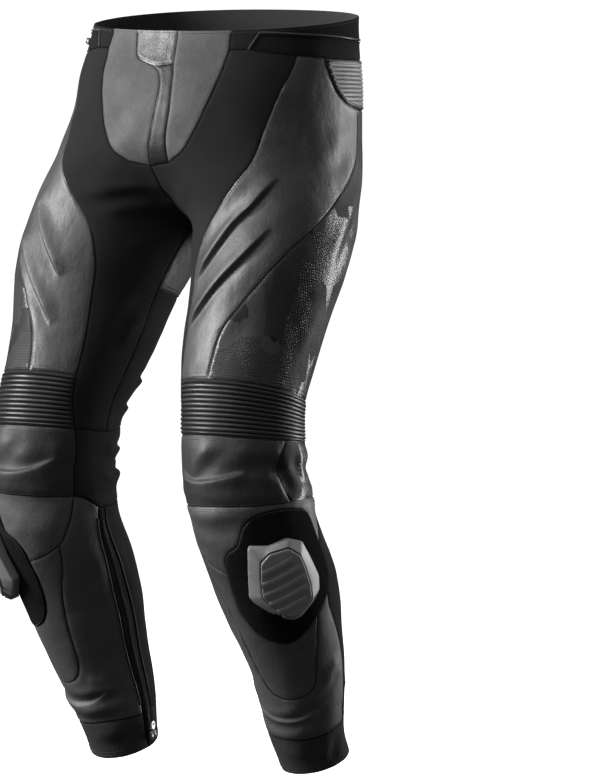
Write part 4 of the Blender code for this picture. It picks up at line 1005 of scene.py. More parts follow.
def on_half(points, half):
    return points if half == "L" else mirrored_x(points)


def new_object(name, points, faces, looks, face_looks=None, uvs=None, edge=None, smooth=True):
    """A mesh object from millimetres, with its materials, a map in metres and its distance to the seams."""
    mesh = bpy.data.meshes.new(name)
    mesh.from_pydata((points / 1000).tolist(), [], [tuple(map(int, face)) for face in faces])
    for look in looks:
        mesh.materials.append(LOOKS[look])
    if face_looks is not None:
        mesh.polygons.foreach_set("material_index", np.asarray(face_looks, np.int32))
    if uvs is not None:
        layer = mesh.uv_layers.new(name="cloth")
        corners = np.empty(len(mesh.loops), np.int32)
        mesh.loops.foreach_get("vertex_index", corners)
        layer.data.foreach_set("uv", (uvs[corners] / 1000).astype(np.float32).ravel())
    if edge is not None:
        layer = mesh.attributes.new("edge", "FLOAT", "POINT")
        layer.data.foreach_set("value", edge.astype(np.float32))
    if smooth:
        mesh.shade_smooth()
        mesh.set_sharp_from_angle(angle=math.radians(50))
    mesh.update()
    piece = bpy.data.objects.new(name, mesh)
    bpy.context.scene.collection.objects.link(piece)
    return piece


def area_of(points, triangles):
    a, b, c = points[triangles[:, 0]], points[triangles[:, 1]], points[triangles[:, 2]]
    return np.linalg.norm(np.cross(b - a, c - a), axis=1).sum() / 2


TOTALS = {"area": 0.0, "triangles": 0}
LOOKS = {}


def cloth(name, key, entries, half, wall, looks, step=4.0):
    """One sewn piece as a closed fine sheet, in the place of its solid."""
    outline = outline_of(entries)
    squeeze = 1.0
    if key in RIBS:
        top, bottom, count, _ = RIBS[key]
        squeeze = 4.0 if key == "knee_ribs" else 4.5
        inner = [rows_along_ribs(outline, top, bottom, count, 3.0)]
    else:
        inner = []
        for gap in (1.1, 2.7):
            moved, _ = inset_points(outline, gap)
            found, good = to_pattern(outline, moved)
            flat = to_flat(found[:, 0], found[:, 1])
            edge = to_flat(outline[:, 0], outline[:, 1])
            good &= inside_polygon(flat, edge)
            good &= near_line(place(found[:, 0], found[:, 1]), place(outline[:, 0], outline[:, 1]), True)[0] > 0.8 * gap
            inner.append(found[good])
        rows = rows_inside(outline, step * 0.87, squeeze, step)
        beside_folds = rows_by_folds(key, half, outline)
        if len(beside_folds):
            inner.append(beside_folds)
            rows = rows[clear_of(rows, beside_folds, 1.7)]
        inner.append(rows)
    pattern, triangles = triangles_over(outline, np.vstack(inner), squeeze)
    count = len(outline)
    placed = place(pattern[:, 0], pattern[:, 1])
    normals = outward(placed, pattern[:, 1])
    rim = placed[:count].copy()
    free = (outline[:, 1] < 0.5) | (outline[:, 1] > HEM_DROP - 0.5)
    distance, along = near_line(placed, rim, True)
    nearest = np.round(along).astype(int) % count
    distance = np.where(free[nearest] & (distance > 0.01), np.maximum(distance, 4.0), distance)
    distance[:count] = np.where(free, 4.0, 0.0)
    placed[:count] = inset_points(outline, 0.02)[0]
    here, ways = on_half(placed, half), on_half(normals, half)
    lift = surface_lift(key, half, pattern, here, ways, distance, along, count)
    if name.startswith("slider_pad"):
        shape = np.zeros(len(here))
        lift = lift + PAD_LIFT * np.clip(distance / 1.2, 0, 1)
    else:
        shape = creases_at(here)
    if key == "calf_zip":
        shape = shape * 0.35
        lift = lift + 0.5 * np.clip(distance / 3.0, 0, 1)
    outer = here + ways * (lift + shape)[:, None]
    inner_side = here + ways * (np.minimum(lift, 0.6 + 0 * lift) * 0.5 + shape - wall)[:, None]
    faces = list(triangles)
    under = triangles[:, ::-1] + len(outer)
    rim_faces = [(i, i + len(outer), (i + 1) % count + len(outer), (i + 1) % count) for i in range(count)]
    all_faces = [tuple(t) for t in triangles] + [tuple(t) for t in under] + rim_faces
    kinds = [0] * len(triangles) + [1] * len(under) + [0] * len(rim_faces)
    used = (looks, "lining")
    if key == "hip_ribs":
        used = (looks, "lining", "leather")
        by_edge = distance[triangles].mean(axis=1) < PIPING
        kinds = [2 if bordering else 0 for bordering in by_edge] + [1] * len(under) + [2] * len(rim_faces)
    if half == "R":
        all_faces = [face[::-1] for face in all_faces]
    flat = to_flat(pattern[:, 0], pattern[:, 1])
    edge = np.exp(-distance / 5.0)
    piece = new_object(
        name + "_cloth", np.vstack([outer, inner_side]), all_faces, used, kinds,
        np.vstack([flat, flat]), np.concatenate([edge, edge]),
    )
    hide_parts(name)
    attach(piece, "trousers")
    area = area_of(outer, triangles)
    TOTALS["area"] += area / 1e6
    TOTALS["triangles"] += 2 * len(triangles) + 2 * count
    return piece


class Look:
    """A material's nodes, joined by name."""

    def __init__(self, name, **values):
        self.material = bpy.data.materials.new("look_" + name)
        LOOKS[name] = self.material
        self.material.use_nodes = True
        self.tree = self.material.node_tree
        self.shader = self.tree.nodes["Principled BSDF"]
        for socket, value in values.items():
            self.shader.inputs[socket.replace("_", " ")].default_value = value
        self.place = self.add("ShaderNodeTexCoord").outputs["Object"]
        self.cloth_map = self.add("ShaderNodeUVMap", uv_map="cloth").outputs["UV"]

    def add(self, kind, inputs=None, **settings):
        node = self.tree.nodes.new(kind)
        for name, value in settings.items():
            setattr(node, name, value)
        for name, value in (inputs or {}).items():
            if isinstance(value, bpy.types.NodeSocket):
                self.tree.links.new(value, node.inputs[name])
            else:
                node.inputs[name].default_value = value
        return node

    def math(self, operation, first, second=0.0, third=0.0):
        return self.add("ShaderNodeMath", {0: first, 1: second, 2: third}, operation=operation).outputs[0]

    def noise(self, scale, detail=3.0, vector=None, rough=0.5):
        node = self.add("ShaderNodeTexNoise", {"Vector": vector or self.place, "Scale": scale, "Detail": detail, "Roughness": rough})
        return node.outputs["Fac"]

    def ranged(self, value, low, high, to_low, to_high, smooth=False):
        node = self.add(
            "ShaderNodeMapRange",
            {"Value": value, "From Min": low, "From Max": high, "To Min": to_low, "To Max": to_high},
            interpolation_type="SMOOTHSTEP" if smooth else "LINEAR",
        )
        return node.outputs["Result"]

    def mixed(self, share, first, second):
        node = self.add("ShaderNodeMix", data_type="RGBA")
        for socket, value in ((node.inputs[0], share), (node.inputs[6], first), (node.inputs[7], second)):
            if isinstance(value, bpy.types.NodeSocket):
                self.tree.links.new(value, socket)
            else:
                socket.default_value = value
        return node.outputs[2]

    def edge(self):
        return self.add("ShaderNodeAttribute", attribute_name="edge").outputs["Fac"]

    def drive(self, socket, value):
        self.tree.links.new(value, self.shader.inputs[socket])

    def bump(self, height, distance, strength=1.0, before=None):
        inputs = {"Height": height, "Distance": distance, "Strength": strength}
        if before is not None:
            inputs["Normal"] = before
        return self.add("ShaderNodeBump", inputs).outputs["Normal"]


def grey(value, tint=0.0):
    return (value, value, value * (1 + tint), 1.0)


def leather_look(name, base, rough, grain=0.0013, depth=0.00022, spec=0.4, wear=0.25, creased=0.0011, speckle=0.2, gloss=None, holes=False):
    """Milled leather: pebbled grain, fine creases, cloudy colour and gloss, and edges rubbed lighter and smoother."""
    look = Look(name, Roughness=rough, Specular_IOR_Level=spec)
    cloud = look.noise(11.0, 5.0)
    fine = look.noise(95.0, 4.0)
    shade = look.mixed(look.ranged(cloud, 0.3, 0.7, 0.0, 1.0), grey(base * 0.78), grey(base * 1.25, 0.015))
    shade = look.mixed(look.ranged(fine, 0.35, 0.75, 0.0, 0.22), shade, grey(base * 1.7))
    shade = look.mixed(look.ranged(look.noise(420.0, 3.0, rough=0.7), 0.35, 0.7, speckle, 0.0), shade, grey(base * 0.4))
    shade = look.mixed(look.math("MULTIPLY", look.edge(), wear), shade, grey(base * 2.0))
    cells = look.add("ShaderNodeTexVoronoi", {"Vector": look.place, "Scale": 1 / grain}, feature="SMOOTH_F1").outputs["Distance"]
    pores = look.noise(620.0, 3.0)
    wrinkled = look.noise(190.0, 5.0, rough=0.62)
    height = look.math("MULTIPLY_ADD", wrinkled, 1.5, look.math("MULTIPLY", cells, -0.9))
    height = look.math("MULTIPLY_ADD", pores, 0.35, height)
    drawn = look.add("ShaderNodeVectorMath", {0: look.place, 1: (1.0, 1.0, 0.6)}, operation="MULTIPLY").outputs[0]
    puckered = look.math("MULTIPLY_ADD", look.noise(75.0, 3.0, vector=drawn), 0.6, look.noise(34.0, 3.0, vector=drawn))
    surface = look.bump(puckered, creased, 0.9)
    surface = look.bump(height, depth, 0.9, surface)
    roughness = look.ranged(look.noise(26.0, 5.0), 0.3, 0.7, rough - 0.07, rough + 0.1)
    roughness = look.math("MULTIPLY_ADD", look.edge(), -0.08, roughness)
    if gloss is not None:
        patch = gloss(look)
        shade = look.mixed(patch, shade, look.mixed(cloud, grey(0.035), grey(0.075)))
        roughness = look.add("ShaderNodeMix", {0: patch, 2: roughness, 3: 0.27}).outputs[0]
    if holes:
        hole = punched(look)
        field = look.ranged(look.add("ShaderNodeTexVoronoi", {"Vector": look.place, "Scale": 13.0}, distance="MANHATTAN").outputs["Color"], 0.55, 0.56, 1.0, 0.0)
        shade = look.mixed(look.math("MULTIPLY", field, 0.7), shade, grey(0.04))
        hole = look.math("MULTIPLY", hole, field)
        # The holes are painted near black: partly the dark lining behind them, partly painted shade inside them.
        shade = look.mixed(hole, shade, grey(0.001))
        surface = look.bump(look.math("MULTIPLY", hole, -1.0), 0.00025, 0.8, surface)
    # Painted shadow: a near-black line along each seam's groove, where shade falls between the two pieces.
    shade = look.mixed(look.ranged(look.edge(), 0.74, 0.88, 0.0, 0.94), shade, grey(0.0015))
    look.drive("Base Color", shade)
    look.drive("Roughness", roughness)
    look.drive("Normal", surface)
    return look


def punched(look, pitch=0.0034, hole=0.25):
    """Rows of small round holes, staggered."""
    split = look.add("ShaderNodeSeparateXYZ", {0: look.cloth_map})
    across = look.math("DIVIDE", split.outputs[0], pitch)
    down = look.math("DIVIDE", split.outputs[1], pitch * 0.87)
    shifted = look.math("MULTIPLY_ADD", look.math("MODULO", look.math("FLOOR", down), 2.0), 0.5, across)
    x = look.math("SUBTRACT", look.math("FRACT", shifted), 0.5)
    y = look.math("SUBTRACT", look.math("FRACT", down), 0.5)
    radius = look.math("SQRT", look.math("ADD", look.math("MULTIPLY", x, x), look.math("MULTIPLY", y, y)))
    return look.ranged(radius, hole - 0.05, hole + 0.05, 1.0, 0.0, True)


def angular_patches(look):
    """A generic broken-angled patchwork of smooth finish on the duller leather."""
    bent = look.add("ShaderNodeVectorMath", {0: look.place, 1: (1.0, 1.0, 0.55)}, operation="MULTIPLY").outputs[0]
    cell = look.add("ShaderNodeTexVoronoi", {"Vector": bent, "Scale": 26.0}, distance="CHEBYCHEV").outputs["Color"]
    value = look.add("ShaderNodeSeparateColor", {0: cell}).outputs[1]
    return look.ranged(value, 0.60, 0.61, 0.0, 1.0)


def woven_look(name, base, pitch, rough=0.85, sheen=0.25, slant=True, depth=0.00012, spec=0.18, contrast=0.35):
    """Stretch cloth: a fine slanted or ribbed weave, a soft sheen and slow changes of shade."""
    look = Look(name, Roughness=rough, Specular_IOR_Level=spec, Sheen_Weight=sheen, Sheen_Roughness=0.45)
    split = look.add("ShaderNodeSeparateXYZ", {0: look.cloth_map})
    u, v = split.outputs[0], split.outputs[1]
    turn = 2 * math.pi / pitch
    if slant:
        first = look.math("SINE", look.math("MULTIPLY", look.math("ADD", u, v), turn))
        second = look.math("SINE", look.math("MULTIPLY", look.math("SUBTRACT", u, look.math("MULTIPLY", v, 0.4)), turn * 1.4))
        weave = look.math("MULTIPLY_ADD", second, 0.5, first)
    else:
        first = look.math("SINE", look.math("MULTIPLY", u, turn))
        second = look.math("SINE", look.math("MULTIPLY", v, turn * 1.7))
        weave = look.math("MULTIPLY_ADD", second, 0.35, first)
    yarn = look.noise(1800.0, 2.0)
    height = look.math("MULTIPLY_ADD", yarn, 0.8, weave)
    # Painted shade: the weave is coloured darker down in its grooves and lighter on its raised yarns.
    shade = look.mixed(look.ranged(height, -1.0, 1.8, 0.0, contrast + 0.3), grey(base * 0.6), grey(base * 1.9))
    shade = look.mixed(look.ranged(look.noise(7.0, 4.0), 0.3, 0.7, 0.0, 0.4), shade, grey(base * 0.6))
    # Painted shadow: a near-black line along each seam's groove, where shade falls between the two pieces.
    shade = look.mixed(look.ranged(look.edge(), 0.76, 0.9, 0.0, 0.92), shade, grey(0.0015))
    look.drive("Base Color", shade)
    look.drive("Normal", look.bump(height, depth, 0.7))
    look.drive("Roughness", look.ranged(look.noise(34.0, 3.0), 0.3, 0.7, rough - 0.05, rough + 0.06))
    return look


def fuzzy_look():
    """Hook-and-loop cloth: matted loops, dusty and dull."""
    look = Look("hook_and_loop", Roughness=0.96, Specular_IOR_Level=0.03, Sheen_Weight=0.01, Sheen_Roughness=0.6)
    loops = look.noise(900.0, 5.0, rough=0.7)
    tufts = look.add("ShaderNodeTexVoronoi", {"Vector": look.place, "Scale": 700.0}).outputs["Distance"]
    height = look.math("MULTIPLY_ADD", loops, 1.6, tufts)
    # Painted shade: the loops are coloured darker down between them and lighter on their tops.
    shade = look.mixed(look.ranged(height, 0.5, 1.6, 0.0, 1.0), grey(0.003), grey(0.012))
    shade = look.mixed(look.ranged(look.noise(60.0, 4.0), 0.58, 0.75, 0.0, 0.3), shade, grey(0.03))
    look.drive("Base Color", shade)
    look.drive("Normal", look.bump(height, 0.0007, 0.9))
    return look


def plastic_look(name, base, rough, scratch=0.5, coat=0.0, spec=0.5):
    """Moulded plastic: a fine spark texture, faint flow marks and light scuffs."""
    look = Look(name, Roughness=rough, Specular_IOR_Level=spec, Coat_Weight=coat, Coat_Roughness=0.12)
    spark = look.noise(1500.0, 2.0)
    flow = look.noise(22.0, 4.0)
    stretched = look.add("ShaderNodeVectorMath", {0: look.place, 1: (40.0, 900.0, 160.0)}, operation="MULTIPLY").outputs[0]
    scuff = look.ranged(look.noise(1.0, 3.0, vector=stretched), 0.62, 0.7, 0.0, scratch)
    shade = look.mixed(look.ranged(flow, 0.3, 0.7, 0.0, 1.0), grey(base * 0.88), grey(base * 1.12))
    shade = look.mixed(look.math("MULTIPLY", scuff, 0.5), shade, grey(min(1.0, base * 2.2)))
    look.drive("Base Color", shade)
    look.drive("Roughness", look.math("MULTIPLY_ADD", scuff, 0.25, look.ranged(flow, 0.3, 0.7, rough - 0.04, rough + 0.05)))
    look.drive("Normal", look.bump(look.math("MULTIPLY_ADD", scuff, -0.6, spark), 0.00005, 0.7))
    return look


def metal_look(name, base, rough):
    look = Look(name, Metallic=1.0, Roughness=rough)
    brushed = look.add("ShaderNodeVectorMath", {0: look.place, 1: (2500.0, 2500.0, 120.0)}, operation="MULTIPLY").outputs[0]
    streak = look.noise(1.0, 3.0, vector=brushed)
    tarnish = look.noise(240.0, 4.0)
    look.drive("Base Color", look.mixed(look.ranged(tarnish, 0.4, 0.75, 0.0, 0.7), grey(base), grey(base * 0.45)))
    look.drive("Roughness", look.ranged(streak, 0.3, 0.7, rough - 0.08, rough + 0.12))
    look.drive("Normal", look.bump(streak, 0.00004, 0.6))
    return look


def lining_look():
    """The mesh lining: a knitted net with small round openings."""
    look = Look("lining", Roughness=0.9, Specular_IOR_Level=0.12, Sheen_Weight=0.2, Sheen_Roughness=0.5)
    net = punched(look, 0.0026, 0.3)
    # The net's openings are painted dark: partly the dark leather behind them, partly painted shade inside them.
    shade = look.mixed(net, grey(0.030), grey(0.004))
    shade = look.mixed(look.ranged(look.noise(9.0, 3.0), 0.3, 0.7, 0.0, 0.4), shade, grey(0.014))
    look.drive("Base Color", shade)
    look.drive("Normal", look.bump(look.math("MULTIPLY", net, -1.0), 0.0004, 0.8))
    return look


def thread_look(name, base):
    look = Look(name, Roughness=0.62, Specular_IOR_Level=0.35, Sheen_Weight=0.15, Sheen_Roughness=0.4)
    twist = look.noise(2600.0, 2.0)
    look.drive("Base Color", look.mixed(twist, grey(base * 0.7), grey(base * 1.5)))
    look.drive("Normal", look.bump(twist, 0.0001, 0.6))
    return look


# The thigh and shin leathers are the same black leather as the rest, copies painted lighter where the light falls
# strongly on those pieces.
leather_look("leather", 0.02, 0.56, spec=0.42)
leather_look("thigh_leather_painted_lit", 0.03, 0.52, spec=0.6, creased=0.0014)
leather_look("fly_leather", 0.007, 0.5, spec=0.4)
leather_look("tab_leather", 0.03, 0.42, spec=0.45, creased=0.0014)
leather_look("shin_leather_painted_lit", 0.057, 0.56, spec=0.42)
leather_look("grey_leather", 0.073, 0.62, grain=0.0012, spec=0.28, speckle=0.5, creased=0.0008)
leather_look("hip_leather", 0.27, 0.5, grain=0.001, spec=0.45, creased=0.0003)
leather_look("ribbed_leather", 0.016, 0.42, grain=0.001, depth=0.0001, spec=0.5, creased=0.0003)
leather_look("perforated_leather", 0.007, 0.66, spec=0.28, creased=0.0007, gloss=angular_patches, holes=True)
woven_look("stretch", 0.019, 0.0011, rough=0.82, sheen=0.02, spec=0.08)
woven_look("knit", 0.018, 0.0032, rough=0.9, sheen=0.01, slant=True, depth=0.0004, spec=0.05)
woven_look("elastic", 0.045, 0.0019, rough=0.88, sheen=0.01, slant=False, depth=0.0003, spec=0.08)
woven_look("zip_tape", 0.011, 0.0012, rough=0.85, sheen=0.01, slant=False, depth=0.00015, spec=0.1)
fuzzy_look()
plastic_look("slider_plastic", 0.2, 0.4, coat=0.0, spec=0.45)
plastic_look("face_plastic", 0.22, 0.36, scratch=0.3)
plastic_look("tooth_plastic", 0.03, 0.35, scratch=0.0)
plastic_look("chain_plastic", 0.10, 0.35, scratch=0.0)
metal_look("zip_metal", 0.55, 0.28)
lining_look()
thread_look("black_thread", 0.035)
# The thighs, knee cups and shins take the copies of the leather painted lighter as if lit.
LOOK_OF = {
    "stretch_front": "stretch", "thigh": "thigh_leather_painted_lit", "hip_ribs": "hip_leather", "outer_thigh": "perforated_leather",
    "seat": "leather", "thigh_back": "stretch", "knee_ribs": "ribbed_leather", "knee": "leather",
    "knee_outer": "perforated_leather", "knee_back": "stretch", "knee_cup": "shin_leather_painted_lit", "shin_front": "shin_leather_painted_lit",
    "shin": "shin_leather_painted_lit", "calf": "stretch", "calf_zip": "zip_tape", "cuff": "elastic", "slider_pad": "hook_and_loop",
}
THIN = ("stretch_front", "thigh_back", "knee_back", "calf", "cuff")

for half, _ in LEFT_AND_RIGHT:
    for key, entries in PANELS.items():
        wall = STRETCH if key in THIN else LEATHER
        cloth(f"{key}_{half}", key, entries, half, wall, LOOK_OF[key])
cloth("yoke_L", "yoke", YOKE_L, "L", LEATHER, "grey_leather")
cloth("yoke_R", "yoke", YOKE_R, "R", LEATHER, "grey_leather")
cloth("fly_placket", "fly", FLY, "L", LEATHER, "fly_leather", step=3.0)
cloth("waist_tab", "tab", TAB, "L", LEATHER, "tab_leather", step=3.0)
cloth("waistband_knit", "waistband_knit", KNIT, "L", STRETCH, "knit")
cloth("connector_band", "connector_band", BAND, "L", LEATHER, "zip_tape")
print("cloth made", TOTALS)


def lift_beside(key, half, pattern, points, normals, gap):
    """The lift of a piece's outer face along a row beside its seam."""
    _, stand = EDGES.get(key, LEATHER_EDGE)
    return seam_profile(np.full(len(points), gap), stand) + creases_at(points) + folds_at(points, normals, key, half) * 0.5


def beside(key, entries, entry, gap):
    """A row of pattern points inside a piece, at an even distance from one of its seams."""
    run = run_of(entry)
    placed = place(run[:, 0], run[:, 1])
    normals = outward(placed, run[:, 1])
    aside = unit(np.cross(normals, np.gradient(placed, axis=0)))
    outline = outline_of(entries)
    flat = to_flat(outline[:, 0], outline[:, 1])
    rim = place(outline[:, 0], outline[:, 1])
    best = np.zeros((0, 2))
    for side in (1.0, -1.0):
        found, good = to_pattern(run, placed + aside * gap * side)
        good &= inside_polygon(to_flat(found[:, 0], found[:, 1]), flat)
        good &= near_line(place(found[:, 0], found[:, 1]), rim, True)[0] > 0.75 * gap
        if good.sum() > len(best):
            best = found[good]
    return best


STITCH_PITCH, STITCH_LONG, STITCH_THICK = 3.4, 2.5, 0.44
STITCH_ROUND = 5


def stitches_along(line, normals):
    """Short rounded threads set end to end along a line of points."""
    run = np.concatenate([[0], np.cumsum(np.linalg.norm(np.diff(line, axis=0), axis=1))])
    starts = np.arange(STITCH_PITCH * 0.3, run[-1] - STITCH_LONG, STITCH_PITCH)
    if len(starts) == 0:
        return np.zeros((0, 3)), []

    def at(distance, values):
        return np.stack([np.interp(distance, run, values[:, i]) for i in range(3)], axis=1)

    points, faces = [], []
    angle = np.arange(STITCH_ROUND) * 2 * math.pi / STITCH_ROUND
    begin, end = at(starts, line), at(starts + STITCH_LONG, line)
    out = unit(at(starts, normals))
    ahead = unit(end - begin)
    side = unit(np.cross(ahead, out))
    rings = ((0.0, 0.3, -0.30), (0.22, 1.0, 0.02), (0.78, 1.0, 0.02), (1.0, 0.3, -0.30))
    for share, wide, sunk in rings:
        middle = begin + (end - begin) * share + out * sunk
        ring = middle[:, None] + STITCH_THICK * wide * (
            side[:, None] * np.cos(angle)[None, :, None] + out[:, None] * np.sin(angle)[None, :, None]
        )
        points.append(ring)
    points = np.stack(points, axis=1).reshape(-1, 3)
    per = len(rings) * STITCH_ROUND
    for k in range(len(starts)):
        first = k * per
        for ring in range(len(rings) - 1):
            for i in range(STITCH_ROUND):
                j = (i + 1) % STITCH_ROUND
                a = first + ring * STITCH_ROUND
                faces.append((a + i, a + j, a + j + STITCH_ROUND, a + i + STITCH_ROUND))
        faces.append(tuple(first + i for i in reversed(range(STITCH_ROUND))))
        faces.append(tuple(first + (len(rings) - 1) * STITCH_ROUND + i for i in range(STITCH_ROUND)))
    return points, faces


# Topstitched seams: the piece that carries the row, the seam, and how far from it each row runs.
ROWS = (
    ("thigh", "stretch_thigh", (2.2,)), ("thigh", "zip_thigh", (2.2,)), ("thigh", "thigh_hip", (2.0,)),
    ("thigh", "thigh_outer", (2.2,)), ("thigh", "thigh_ribs", (2.4, 6.6)), ("outer_thigh", "outer_ribs", (2.4, 6.6)),
    ("outer_thigh", "outer_seat", (2.2,)), ("outer_thigh", "hip_outer", (2.0,)), ("outer_thigh", "outer_back", (2.2,)),
    ("seat", "zip_seat", (2.2,)), ("seat", "hip_seat", (2.0,)), ("seat", "seat_back", (2.4, 6.6)), ("seat", "back_top", (2.2,)),
    ("knee", "ribs_knee", (2.4, 5.2)), ("knee", "knee_bend", (2.2,)), ("knee", "knee_cup", (2.2,)),
    ("knee_cup", "knee_cup", (2.2, 5.0)), ("knee_cup", "side_cup", (2.2, 5.0)), ("knee_cup", "cup_front", (2.0,)),
    ("knee_cup", "cup_shin", (2.0,)), ("knee_cup", "cup_calf", (2.0,)), ("knee_outer", "side_bend", (2.2,)),
    ("shin_front", "front_shin", (1.8,)), ("shin", "bend_shin", (2.2,)), ("shin", "shin_calf", (2.2,)),
    ("shin", "shin_zip", (2.4,)), ("shin", "shin_cuff", (2.6, 5.0)), ("calf", "calf_cuff", (2.6,)),
    ("calf", "calf_zip:turn", (2.4,)), ("thigh_back", "back_bend", (2.4,)), ("slider_pad", "pad_cup", (2.0,)),
    ("slider_pad", "pad_front", (2.0,)), ("slider_pad", "pad_shin", (2.0,)), ("slider_pad", "pad_calf", (2.0,)),
    ("cuff", "cuff_hem", (4.0, 8.0)), ("knee_ribs", "thigh_ribs", (1.4,)), ("knee_ribs", "outer_ribs", (1.4,)),
    ("stretch_front", "inseam_lower", (2.2,)),
)
WAIST_ROWS = (
    ("yoke", YOKE_L, "L", "yoke_stretch", (2.0,)), ("yoke", YOKE_R, "R", "yoke_stretch", (2.0,)),
    ("yoke", YOKE_L, "L", "yoke_top", (3.0,)), ("yoke", YOKE_R, "R", "yoke_top_other", (3.0,)),
    ("yoke", YOKE_L, "L", "yoke_knit", (2.0,)), ("yoke", YOKE_R, "R", "yoke_knit", (2.0,)),
    ("fly", FLY, "L", "fly_other", (1.8,)), ("fly", FLY, "L", "fly_yoke", (1.8,)),
    ("tab", TAB, "L", "tab_other", (1.8,)), ("tab", TAB, "L", "tab_fly", (1.8,)), ("tab", TAB, "L", "tab_top", (2.4,)),
    ("waistband_knit", KNIT, "L", "knit_top", (3.0,)), ("waistband_knit", KNIT, "L", "knit_top:back", (3.0,)),
)


def sew(name, rows):
    """Every stitched row of one half as one piece."""
    points, faces, total = [], [], 0
    for key, entries, half, entry, gaps in rows:
        for gap in gaps:
            pattern = beside(key, entries, entry, gap)
            if len(pattern) < 3:
                continue
            pattern = evenly(pattern, 3.0)
            placed = place(pattern[:, 0], pattern[:, 1])
            normals = outward(placed, pattern[:, 1])
            here, ways = on_half(placed, half), on_half(normals, half)
            lift = lift_beside(key, half, pattern, here, ways, gap)
            if key == "slider_pad":
                lift = seam_profile(np.full(len(here), gap), 0.2) + PAD_LIFT
            made, its = stitches_along(here + ways * (lift + 0.05)[:, None], ways)
            points.append(made)
            faces.extend(tuple(total + i for i in face) for face in its)
            total += len(made)
    piece = new_object(name, np.vstack(points), faces, ("black_thread",))
    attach(piece, "trousers")
    return piece


for half, _ in LEFT_AND_RIGHT:
    sew("stitching_" + half, [(key, PANELS[key], half, entry, gaps) for key, entry, gaps in ROWS])
sew("stitching_waist", WAIST_ROWS)


def blocks(spots, sizes):
    """Small blocks with chamfered tops. A spot is a point with its across, along and out directions."""
    points, faces = [], []
    wide, long, high = sizes
    corners = ((-1, -1), (1, -1), (1, 1), (-1, 1))
    for number, (here, across, along, out) in enumerate(spots):
        for level, share in ((-0.5, 1.0), (0.3, 1.0), (0.5, 0.62)):
            for x, y in corners:
                points.append(here + across * (x * wide * share / 2) + along * (y * long * share / 2) + out * (level * high))
        first = 12 * number
        faces.append((first + 3, first + 2, first + 1, first))
        faces.append((first + 8, first + 9, first + 10, first + 11))
        for ring in (0, 4):
            for i in range(4):
                j = (i + 1) % 4
                faces.append((first + ring + i, first + ring + j, first + ring + 4 + j, first + ring + 4 + i))
    return np.array(points), faces


def along_line(pattern, step, half, lift):
    """Spots at even distances along a line of the cloth."""
    pattern = evenly(pattern, step)
    placed = place(pattern[:, 0], pattern[:, 1])
    normals = outward(placed, pattern[:, 1])
    here, ways = on_half(placed, half), on_half(normals, half)
    ahead = unit(np.gradient(here, axis=0))
    return here + ways * lift[:, None] if hasattr(lift, "__len__") else here + ways * lift, np.cross(ahead, ways), ahead, ways


def middle_of(first, second, count):
    share = np.linspace(0, 1, count)
    runs = []
    for seam in (first, second):
        run = np.linspace(0, 1, len(seam))
        runs.append(np.stack([np.interp(share, run, seam[:, 0]), np.interp(share, run, seam[:, 1])], axis=1))
    return (runs[0] + runs[1]) / 2


def small_piece(name, points, faces, look, body="trousers", stands_for=(), smooth=False):
    piece = new_object(name, points, faces, (look,), smooth=smooth)
    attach(piece, body)
    if stands_for:
        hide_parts(*stands_for)
    return piece


zip_edges = [np.vstack([SAMPLED[a], SAMPLED[b][1:]]) for a, b in (("shin_zip", "cuff_zip"), ("calf_zip", "zip_cuff"))]
teeth_line = middle_of(zip_edges[0], zip_edges[1], 240)
teeth_line = teeth_line[(teeth_line[:, 1] > 604) & (teeth_line[:, 1] < 874)]
for half, _ in LEFT_AND_RIGHT:
    here, across, ahead, ways = along_line(teeth_line, 1.45, half, 0.0)
    here = here + ways * (creases_at(here) * 0.35 + 0.5)[:, None]
    spots = []
    for k in range(len(here)):
        side = 1.0 if k % 2 else -1.0
        spots.append((here[k] + across[k] * side * 0.85 + ways[k] * 0.75, across[k], ahead[k], ways[k]))
    points, faces = blocks(spots, (3.0, 0.95, 1.5))
    small_piece("calf_teeth_" + half, points, faces, "tooth_plastic")

chain = np.vstack([run_of("knit_end"), run_of("knit_zip")[1:]])
for half, _ in LEFT_AND_RIGHT:
    here, across, ahead, ways = along_line(chain, 2.1, half, 1.0)
    here = here + ways * creases_at(here)[:, None]
    upward = across * np.where(across[:, 2:] < 0, -1.0, 1.0)
    spots = [(here[k] + upward[k] * 1.0, upward[k], ahead[k], ways[k]) for k in range(len(here))]
    points, faces = blocks(spots, (2.0, 1.1, 1.5))
    small_piece("connector_teeth_" + half, points, faces, "chain_plastic")


def cord_over(line, normals, radius, round_count=8):
    """A thin round cord along a line."""
    ahead = unit(np.gradient(line, axis=0))
    side = unit(np.cross(ahead, normals))
    angle = np.arange(round_count) * 2 * math.pi / round_count
    points = line[:, None] + np.broadcast_to(radius, (len(line),))[:, None, None] * (
        side[:, None] * np.cos(angle)[None, :, None] + normals[:, None] * np.sin(angle)[None, :, None]
    )
    faces = []
    for k in range(len(line) - 1):
        for i in range(round_count):
            j = (i + 1) % round_count
            a = k * round_count
            faces.append((a + i, a + j, a + j + round_count, a + i + round_count))
    faces.append(tuple(reversed(range(round_count))))
    faces.append(tuple((len(line) - 1) * round_count + i for i in range(round_count)))
    return points.reshape(-1, 3), faces


